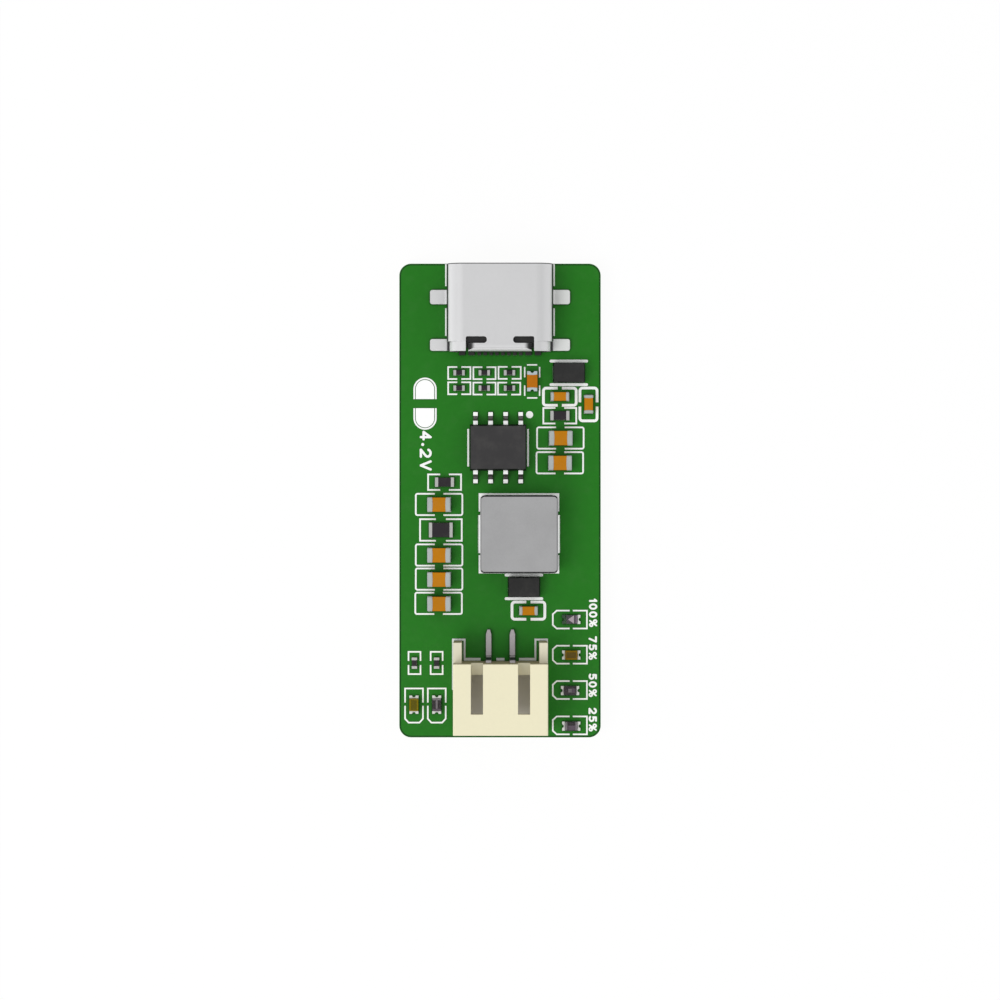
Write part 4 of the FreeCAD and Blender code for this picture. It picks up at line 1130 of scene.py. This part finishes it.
@dataclass
class UsbSocket(SubAssembly):
    """The USB-C socket and the lines printed beside its shell."""

    name: str = "usb_socket"
    line: float = 0.12
    line_x: float = 4.57
    front_line: Point = (18.10, 19.95)
    rear_line: Point = (13.90, 16.24)

    def build(self) -> None:
        """Dress the socket and print its lines."""
        self.dress({"usb_shell": SHELL_STEEL, "usb_insulator": BLACK_MOULDING,
                    "usb_mid_plate": PLATE_STEEL, "usb_contacts": CONTACT_GOLD})
        shapes = [Stroke(((x, low), (x, high)), self.line) for x in (-self.line_x, self.line_x)
                  for low, high in (self.front_line, self.rear_line)]
        self.print_shapes("print_usb_socket", shapes)


@dataclass
class BatteryHeader(SubAssembly):
    """The two-way battery header and its printed outline."""

    name: str = "battery_header"
    line: float = 0.16
    outer_x: float = 3.97
    inner_x: float = 2.99
    rear_y: float = -11.74
    waist_y: float = -13.40
    waist_line: float = 0.23
    side_end_y: float = -16.0
    dashes: tuple[Point, ...] = ((-3.07, -1.64), (-0.31, 0.38), (1.60, 3.07))

    def build(self) -> None:
        """Dress the header and print its outline."""
        self.dress({"battery_header_housing": CREAM_MOULDING})
        for side in ("left", "right"):
            self.dress({f"battery_header_pin_{side}": TINNED_PIN,
                        f"battery_header_tab_{side}": TAB_TIN})
        corners = ((self.outer_x, self.side_end_y), (self.outer_x, self.rear_y),
                   (self.inner_x, self.rear_y), (self.inner_x, self.waist_y + self.waist_line / 2))
        shapes = [Stroke(tuple((side * x, y) for x, y in corners), self.line) for side in (-1, 1)]
        shapes += [Stroke(((low, self.waist_y), (high, self.waist_y)), self.waist_line)
                   for low, high in self.dashes]
        # The header's print is greyer: painted shade from the header beside it.
        self.print_shapes("print_battery_header", shapes, ink=SHADED_INK)


@dataclass
class ChargerChip(SubAssembly):
    """The charger chip, the bars beside it and its pin-one dot."""

    name: str = "charger"
    line: float = 0.15
    bar_gap: float = 0.07
    bar_length: float = 3.17
    dot_offset: Point = (2.66, 2.79)
    dot_radius: float = 0.30

    def build(self) -> None:
        """Dress the chip and print its marks."""
        self.dress({"charger_body": CHIP_MOULDING, "charger_leads": CHIP_LEAD})
        low, high = box_of("charger_body")
        reach = (high.x - low.x) / 2 + self.bar_gap + self.line / 2
        half = self.bar_length / 2
        shapes = [Stroke(((x, -half), (x, half)), self.line) for x in (-reach, reach)]
        shapes.append(Disc.dot(self.dot_offset, self.dot_radius))
        self.print_shapes("print_charger", shapes, middle_of("charger_body"))


@dataclass
class PowerInductor(SubAssembly):
    """The power inductor and the two brackets round it, whose corners are filled in."""

    name: str = "inductor"
    line: float = 0.15
    outer: Point = (6.80, 6.77)
    terminal_gap: float = 3.68
    corner: float = 0.42
    rise: float = 0.05

    def build(self) -> None:
        """Dress the inductor and print its brackets."""
        self.dress({"inductor_body": INDUCTOR_COMPOSITE, "inductor_terminal_left": BRIGHT_TIN,
                    "inductor_terminal_right": BRIGHT_TIN})
        place = moved(middle_of("inductor_body"), (0.0, self.rise))
        brackets = bracket_pair(self.outer[::-1], self.terminal_gap, self.line)
        self.print_shapes("print_inductor", brackets, place, Lie.ALONG)
        x, y = (size / 2 - self.line for size in self.outer)
        corner = ((x, y), (x - self.corner, y), (x, y - self.corner))
        fills = [Disc(tuple((side * px, end * py) for px, py in corner[::side * end]))
                 for side in (1, -1) for end in (1, -1)]
        self.print_shapes("print_inductor_corners", fills, place)


@dataclass
class MouldedDiode(SubAssembly):
    """One moulded diode between two printed bars."""

    bar_length: float = 3.25
    bar_spacing: float = 1.99
    line: float = 0.24

    def build(self) -> None:
        """Dress the diode and print its bars."""
        self.dress({f"{self.name}_body": DIODE_MOULDING, f"{self.name}_leads": BRIGHT_TIN})
        shapes = bars(self.bar_length, self.bar_spacing, self.line, rounded=True)
        self.print_shapes(f"print_{self.name}", shapes, middle_of(f"{self.name}_body"))


@dataclass(frozen=True)
class ChipSize:
    """Size of a chip and of the outline printed round it, and the chip's finish."""

    length: float
    end: float
    outer: Point
    gap: float
    line: float
    radius: float = 0.0
    finish: ChipFinish = RESISTOR


TINY_RESISTOR = ChipSize(0.95, 0.23, (2.01, 1.14), 0.35, 0.13)
SMALL_RESISTOR = ChipSize(1.60, 0.27, (2.92, 1.45), 0.74, 0.14)
LARGE_RESISTOR = ChipSize(2.00, 0.27, (3.66, 1.96), 0.85, 0.14)
SMALL_CAPACITOR = ChipSize(1.57, 0.25, (3.00, 1.68), 0.36, 0.23, 0.35, CAPACITOR)
LARGE_CAPACITOR = ChipSize(1.98, 0.42, (4.07, 1.94), 0.73, 0.14, 0.22, CAPACITOR)


@dataclass
class ChipPart(SubAssembly):
    """One chip resistor or capacitor inside its printed brackets."""

    size: ChipSize = TINY_RESISTOR
    print_shift: Point = (0.0, 0.0)
    lie: Lie = Lie.ACROSS

    def build(self) -> None:
        """Dress the chip and print its brackets."""
        size = self.size
        self.dress({self.name: size.finish.sized(size.length, size.end, self.lie)})
        self.print_shapes(f"print_{self.name}",
                          bracket_pair(size.outer, size.gap, size.line, size.radius),
                          moved(middle_of(self.name), self.print_shift), self.lie)


@dataclass
class InputFuse(SubAssembly):
    """The resettable fuse inside its broken outline."""

    name: str = "input_fuse"
    length: float = 1.70
    end: float = 0.29
    line: float = 0.12
    end_bar: float = 0.87
    end_spacing: float = 2.79
    side_spacing: float = 1.26
    side_range: Point = (0.34, 1.22)

    def build(self) -> None:
        """Dress the fuse and print its outline."""
        self.dress({self.name: FUSE_BODY.sized(self.length, self.end, Lie.ALONG)})
        near, far = self.side_range
        shapes = bars(self.end_bar, self.end_spacing, self.line)
        shapes += [Stroke(((x, side * near), (x, side * far)), self.line)
                   for x in (-self.side_spacing / 2, self.side_spacing / 2) for side in (-1, 1)]
        self.print_shapes(f"print_{self.name}", shapes, middle_of(self.name))


@dataclass(frozen=True)
class Mark:
    """Flat mark on a lamp's base, under its lens, about the lamp's middle."""

    name: str
    finish: Finish
    outlines: tuple[tuple[Point, ...], ...]
    layer: int = 0


class LampKind(Enum):
    """What an indicator lamp looks like from above."""

    BROWN = "brown"
    OLIVE = "olive"
    SMOKE_WITH_DIE = "smoke_with_die"
    SMOKE_WITH_BANDS = "smoke_with_bands"
    SMOKE_WITH_LINE = "smoke_with_line"
    CLEAR = "clear"


@dataclass(frozen=True)
class LampLook:
    """Lens of one kind of lamp, its base's colours, and what shows inside it."""

    lens: Finish
    base_colour: Colour = LAMP_BASE.colour
    bare_end_colour: Colour | None = None
    marks: tuple[Mark, ...] = ()


LAMP_LOOKS = {
    LampKind.BROWN: LampLook(BROWN_LENS, (100, 88, 34)),
    LampKind.OLIVE: LampLook(OLIVE_LENS, (120, 112, 50)),
    LampKind.SMOKE_WITH_DIE: LampLook(SMOKE_LENS, (82, 78, 84), marks=(
        Mark("die", DIE_GREY, (slab(-0.15, 0.13, -0.16, 0.15),)),
        Mark("bond", DIE_PURPLE, (slab(0.14, 0.42, -0.18, 0.18),)))),
    LampKind.SMOKE_WITH_BANDS: LampLook(SMOKE_LENS, marks=(
        Mark("bands", DIE_GREY, (slab(-0.53, -0.33, -0.35, 0.35), slab(0.35, 0.53, -0.35, 0.35))),
        Mark("bond", DIE_PURPLE, (slab(-0.25, 0.34, -0.33, 0.05),)))),
    LampKind.SMOKE_WITH_LINE: LampLook(SMOKE_LENS, marks=(
        Mark("bands", DIE_GREY, (slab(0.38, 0.53, -0.35, 0.35), slab(-0.33, 0.37, -0.08, 0.08))),
        Mark("bond", DIE_PURPLE, (slab(-0.53, -0.36, -0.35, 0.35),)))),
    LampKind.CLEAR: LampLook(CLEAR_LENS, (44, 84, 42), (44, 70, 48), (
        Mark("shade", DIE_DARK, (slab(-0.41, 0.34, -0.35, 0.35),)),
        Mark("marker", DIE_PALE, (((-0.28, 0.0), (0.23, -0.35), (0.23, 0.35)),), layer=1),
        Mark("bond", DIE_PURPLE, (slab(0.35, 0.53, -0.35, 0.35),)))),
}


@dataclass
class IndicatorLamp(SubAssembly):
    """One indicator lamp: base, lens, what shows inside it, and its outline."""

    kind: LampKind = LampKind.BROWN
    print_shift: Point = (-0.09, 0.0)
    lie: Lie = Lie.ACROSS
    length: float = 1.54
    end: float = 0.25
    outer: Point = (3.01, 1.64)
    gap: Point = (-0.02, 0.25)
    line: float = 0.13
    chamfer: Point = (0.33, 0.30)
    mark_height: float = 0.03

    def build(self) -> None:
        """Dress the lamp, add its insides and print its outline."""
        look = LAMP_LOOKS[self.kind]
        base = replace(LAMP_BASE, name=f"lamp_base_{self.kind.value}", colour=look.base_colour,
                       bare_end_colour=look.bare_end_colour)
        self.dress({f"{self.name}_base": base.sized(self.length, self.end, self.lie),
                    f"{self.name}_lens": look.lens})
        middle = middle_of(f"{self.name}_base")
        for mark in look.marks:
            self.add_mark(mark, middle)
        self.print_shapes(f"print_{self.name}", self.brackets(),
                          moved(middle, self.lie.turned(self.print_shift)), self.lie)

    def add_mark(self, mark: Mark, middle: Point) -> None:
        """Add one mark on the base, under the lens.

        Args:
            mark: The mark.
            middle: The lamp's middle.
        """
        name = f"{self.name}_{mark.name}"
        low = box_of(f"{self.name}_base")[1].z + mark.layer * self.mark_height
        placed = [shifted(Disc(points), middle, self.lie) for points in mark.outlines]
        mesh = prism_mesh(name, placed, low, low + self.mark_height)
        self.add(name, mesh, mark.finish, "lamp_base")

    def brackets(self) -> list[Shape]:
        """Square bracket on the lamp's right and a chamfered one on its left."""
        x, y = ((size - self.line) / 2 for size in self.outer)
        start, end = self.gap
        along, across = self.chamfer
        right = ((end, y), (x, y), (x, -y), (end, -y))
        left = ((start, -y), (along - x, -y), (-x, across - y),
                (-x, y - across), (along - x, y), (start, y))
        return [Stroke(points, self.line) for points in (right, left)]


# Strokes of each letter, as shares of the reach of the line's middle.
GLYPHS: dict[str, list[list[Point]]] = {
    "1": [[(0.0, 0.74), (1.0, 1.0), (1.0, 0.0)]],
    "2": [oval((0.5, 0.70), (0.5, 0.30), 165.0, -205.0, ARC_STEPS) + [(0.0, 0.0), (1.0, 0.0)]],
    "4": [[(0.0, 0.28), (1.0, 0.28)], [(0.70, 0.0), (0.70, 1.0), (0.0, 0.28)]],
    "5": [[(0.92, 1.0), (0.16, 1.0)]
          + oval((0.46, 0.32), (0.54, 0.32), 128.0, -268.0, ARC_STEPS)],
    "7": [[(0.0, 1.0), (1.0, 1.0), (0.36, 0.0)]],
    "V": [[(0.0, 1.0), (0.5, 0.0), (1.0, 1.0)]],
    "%": [[(0.10, 0.0), (0.90, 1.0)]],
}


@dataclass(frozen=True)
class LetterSize:
    """Sizes of printed letters.

    The dot's rise and the radius of the percent sign's rings are shares of the height, and the
    sign's line is a share of the usual line.
    """

    height: float
    line: float
    gap: float
    widths: dict[str, float]
    dot_rise: float = 0.25
    percent_line: float = 0.84
    percent_ring: float = 0.17


GAUGE_LETTERS = LetterSize(0.71, 0.165, 0.125,
                           {"1": 0.28, **dict.fromkeys("0257", 0.54), "%": 0.67})
VOLTAGE_LETTERS = LetterSize(1.02, 0.20, 0.21, {"4": 0.82, ".": 0.26, "2": 0.78, "V": 0.87})


@dataclass(frozen=True)
class Label:
    """Word printed down the board, its letters' tops to the right."""

    name: str
    text: str
    place: Point
    size: LetterSize

    def glyph(self, letter: str) -> list[Shape]:
        """Shapes that draw one letter.

        Args:
            letter: The letter, figure or sign.

        Returns:
            Its strokes, rings and dots, from its lower left corner.
        """
        size = self.size
        wide, high, line = size.widths[letter], size.height, size.line
        if letter == ".":
            return [Disc.dot((wide / 2, high * size.dot_rise), wide / 2)]
        if letter == "0":
            return [Ring((wide / 2, high / 2), ((wide - line) / 2, (high - line) / 2), line)]
        drawn = size.percent_line * line if letter == "%" else line
        shapes: list[Shape] = [
            Stroke(tuple((line / 2 + x * (wide - line), line / 2 + y * (high - line))
                         for x, y in points), drawn, rounded=True)
            for points in GLYPHS[letter]]
        if letter == "%":
            radius = high * size.percent_ring
            inset = radius + drawn / 2
            shapes += [Ring(centre, (radius, radius), drawn)
                       for centre in ((inset, high - inset), (wide - inset, inset))]
        return shapes

    def mesh(self, low: float, high: float) -> bpy.types.Mesh:
        """The word as one mesh.

        Args:
            low: Height of its underside.
            high: Height of its top.

        Returns:
            The mesh, in millimetres.
        """
        built = bmesh.new()
        base, start = self.place
        for index, letter in enumerate(self.text):
            name = f"{self.name}_{index}"
            strokes = [prism_mesh(name, [shape], 0.0, high - low) for shape in self.glyph(letter)]
            glyph = joined_mesh(name, strokes)
            glyph.transform(Matrix.Translation((base, start, low))
                            @ Matrix.Rotation(-math.pi / 2, 4, "Z"))
            built.from_mesh(glyph)
            bpy.data.meshes.remove(glyph)
            start -= self.size.widths[letter] + self.size.gap
        return finished_mesh(self.name, built)


@dataclass
class Lettering(SubAssembly):
    """The plain printed words: the gauge's steps in percent, and the cell's voltage.

    Gauge has each step's text, where its base line stands and how far it starts above its lamp.
    """

    name: str = "lettering"
    gauge: tuple[tuple[str, float, float], ...] = (
        ("25%", 7.475, 1.53), ("50%", 7.475, 1.44), ("75%", 7.475, 1.58), ("100%", 7.51, 1.75))
    voltage_place: Point = (-6.78, 5.89)

    def build(self) -> None:
        """Print every word."""
        labels = [Label("print_voltage", "4.2V", self.voltage_place, VOLTAGE_LETTERS)]
        for number, (text, x, rise) in enumerate(self.gauge, start=1):
            start = middle_of(f"gauge_lamp_{number}_base")[1] + rise
            labels.append(Label(f"print_gauge_{number}", text, (x, start), GAUGE_LETTERS))
        for label in labels:
            self.add(label.name, label.mesh(*ink_heights()), PRINT_INK, PRINT_SLOT)


@dataclass
class Studio:
    """Pale floor, plain soft light and the camera over the board. Lengths are in metres."""

    camera_height: float = 0.2636
    camera_shift: float = 0.045 * MM
    clip_start: float = 0.01
    lens: float = 111.7
    sensor: float = 36.0
    floor_size: float = 3.0
    floor_drop: float = 0.05 * MM
    floor_glow: float = 0.94
    sky: float = 0.74
    lamp_power: float = 1.3
    lamp_size: float = 0.35
    lamp_place: tuple[float, float, float] = (-0.27, -0.20, 0.50)
    white: tuple[float, float, float, float] = (1.0, 1.0, 1.0, 1.0)

    def build(self) -> None:
        """Set up the floor, the light and the camera."""
        scene = bpy.context.scene
        scene.view_settings.view_transform = "Standard"
        self.lay_floor()
        self.light_sky(scene)
        self.hang_lamp()
        camera = add_object("camera", bpy.data.cameras.new("camera"))
        camera.location = (0.0, self.camera_shift, self.camera_height)
        camera.data.lens = self.lens
        camera.data.sensor_width = self.sensor
        camera.data.clip_start = self.clip_start
        scene.camera = camera

    def seen(self, graph: Graph) -> Socket:
        """1 for rays that show the background, straight or in metal and glass."""
        path = graph.add("ShaderNodeLightPath").outputs
        kinds = ("Camera", "Glossy", "Transmission")
        return graph.most(*(path[f"Is {kind} Ray"] for kind in kinds))

    def lay_floor(self) -> None:
        """Pale floor that keeps a faint shadow of the board."""
        built = bmesh.new()
        bmesh.ops.create_grid(built, x_segments=1, y_segments=1, size=self.floor_size / 2)
        floor = add_object("floor", finished_mesh("floor", built))
        floor.location.z = -self.floor_drop
        material = bpy.data.materials.new("floor_paper")
        material.use_nodes = True
        graph = Graph(material.node_tree)
        paper = graph.add("ShaderNodeBsdfDiffuse", {"Color": self.white})
        glow = graph.add("ShaderNodeEmission", {"Color": self.white, "Strength": 1.0})
        share = graph.times(self.seen(graph), self.floor_glow)
        mixed = graph.add("ShaderNodeMixShader",
                          {0: share, 1: paper.outputs[0], 2: glow.outputs[0]})
        graph.add("ShaderNodeOutputMaterial", {"Surface": mixed.outputs[0]})
        floor.data.materials.append(material)

    def light_sky(self, scene: bpy.types.Scene) -> None:
        """Even light from all sides, seen as plain white."""
        scene.world = bpy.data.worlds.new("studio_sky")
        scene.world.use_nodes = True
        graph = Graph(scene.world.node_tree)
        strength = graph.ramp(self.seen(graph), 0.0, 1.0, self.sky, 1.0)
        sky = graph.add("ShaderNodeBackground", {"Color": self.white, "Strength": strength})
        graph.add("ShaderNodeOutputWorld", {"Surface": sky.outputs[0]})

    def hang_lamp(self) -> None:
        """Broad soft lamp to the lower left."""
        lamp = add_object("soft_lamp", bpy.data.lights.new("soft_lamp", "AREA"))
        lamp.data.energy = self.lamp_power
        lamp.data.size = self.lamp_size
        lamp.location = self.lamp_place
        lamp.rotation_euler = (-Vector(self.lamp_place)).to_track_quat("-Z", "Y").to_euler()


# How far the print round each part stands off the part's middle, to the right and up.
INPUT_RESISTORS = ((0.014, -0.014), (0.014, -0.025), (0.014, 0.0),
                   (0.014, 0.0), (0.014, -0.025), (-0.028, -0.028))
LARGE_CAPACITORS = {
    "input_capacitor_1": (-0.014, 0.028), "input_capacitor_2": (0.0, 0.028),
    "output_capacitor_1": (-0.014, 0.014), "output_capacitor_2": (-0.014, 0.01),
    "output_capacitor_3": (-0.014, 0.02), "output_capacitor_4": (-0.056, 0.02)}
GAUGE_LAMPS = ((LampKind.SMOKE_WITH_BANDS, (-0.11, 0.045)),
               (LampKind.SMOKE_WITH_DIE, (-0.01, 0.03)),
               (LampKind.BROWN, (-0.11, 0.014)), (LampKind.CLEAR, (-0.11, -0.02)))


def sub_assemblies() -> list[SubAssembly]:
    """Every sub-assembly of the board, in the order that they are built."""
    return [
        CircuitBoard(), UsbSocket(), BatteryHeader(), ChargerChip(), PowerInductor(),
        MouldedDiode("input_diode"), MouldedDiode("battery_diode"), InputFuse(),
        *(ChipPart(f"input_resistor_{number}", print_shift=shift)
          for number, shift in enumerate(INPUT_RESISTORS, start=1)),
        *(ChipPart(f"status_resistor_{number}", lie=Lie.ALONG) for number in (1, 2)),
        ChipPart("input_set_resistor", SMALL_RESISTOR), ChipPart("sense_resistor", SMALL_RESISTOR),
        ChipPart("setting_resistor", LARGE_RESISTOR),
        ChipPart("input_bypass_capacitor", SMALL_CAPACITOR),
        ChipPart("battery_capacitor", SMALL_CAPACITOR),
        ChipPart("side_bypass_capacitor", SMALL_CAPACITOR, lie=Lie.ALONG),
        *(ChipPart(name, LARGE_CAPACITOR, shift) for name, shift in LARGE_CAPACITORS.items()),
        *(IndicatorLamp(f"gauge_lamp_{number}", kind, shift)
          for number, (kind, shift) in enumerate(GAUGE_LAMPS, start=1)),
        IndicatorLamp("status_lamp_1", LampKind.OLIVE, lie=Lie.ALONG),
        IndicatorLamp("status_lamp_2", LampKind.SMOKE_WITH_LINE, lie=Lie.ALONG),
        Lettering()]


def main() -> None:
    """Build the whole scene."""
    logging.basicConfig(level=logging.INFO, format="%(message)s")
    for part in sub_assemblies():
        part.build()
        part.report()
    Studio().build()


if __name__ == "__main__":
    main()
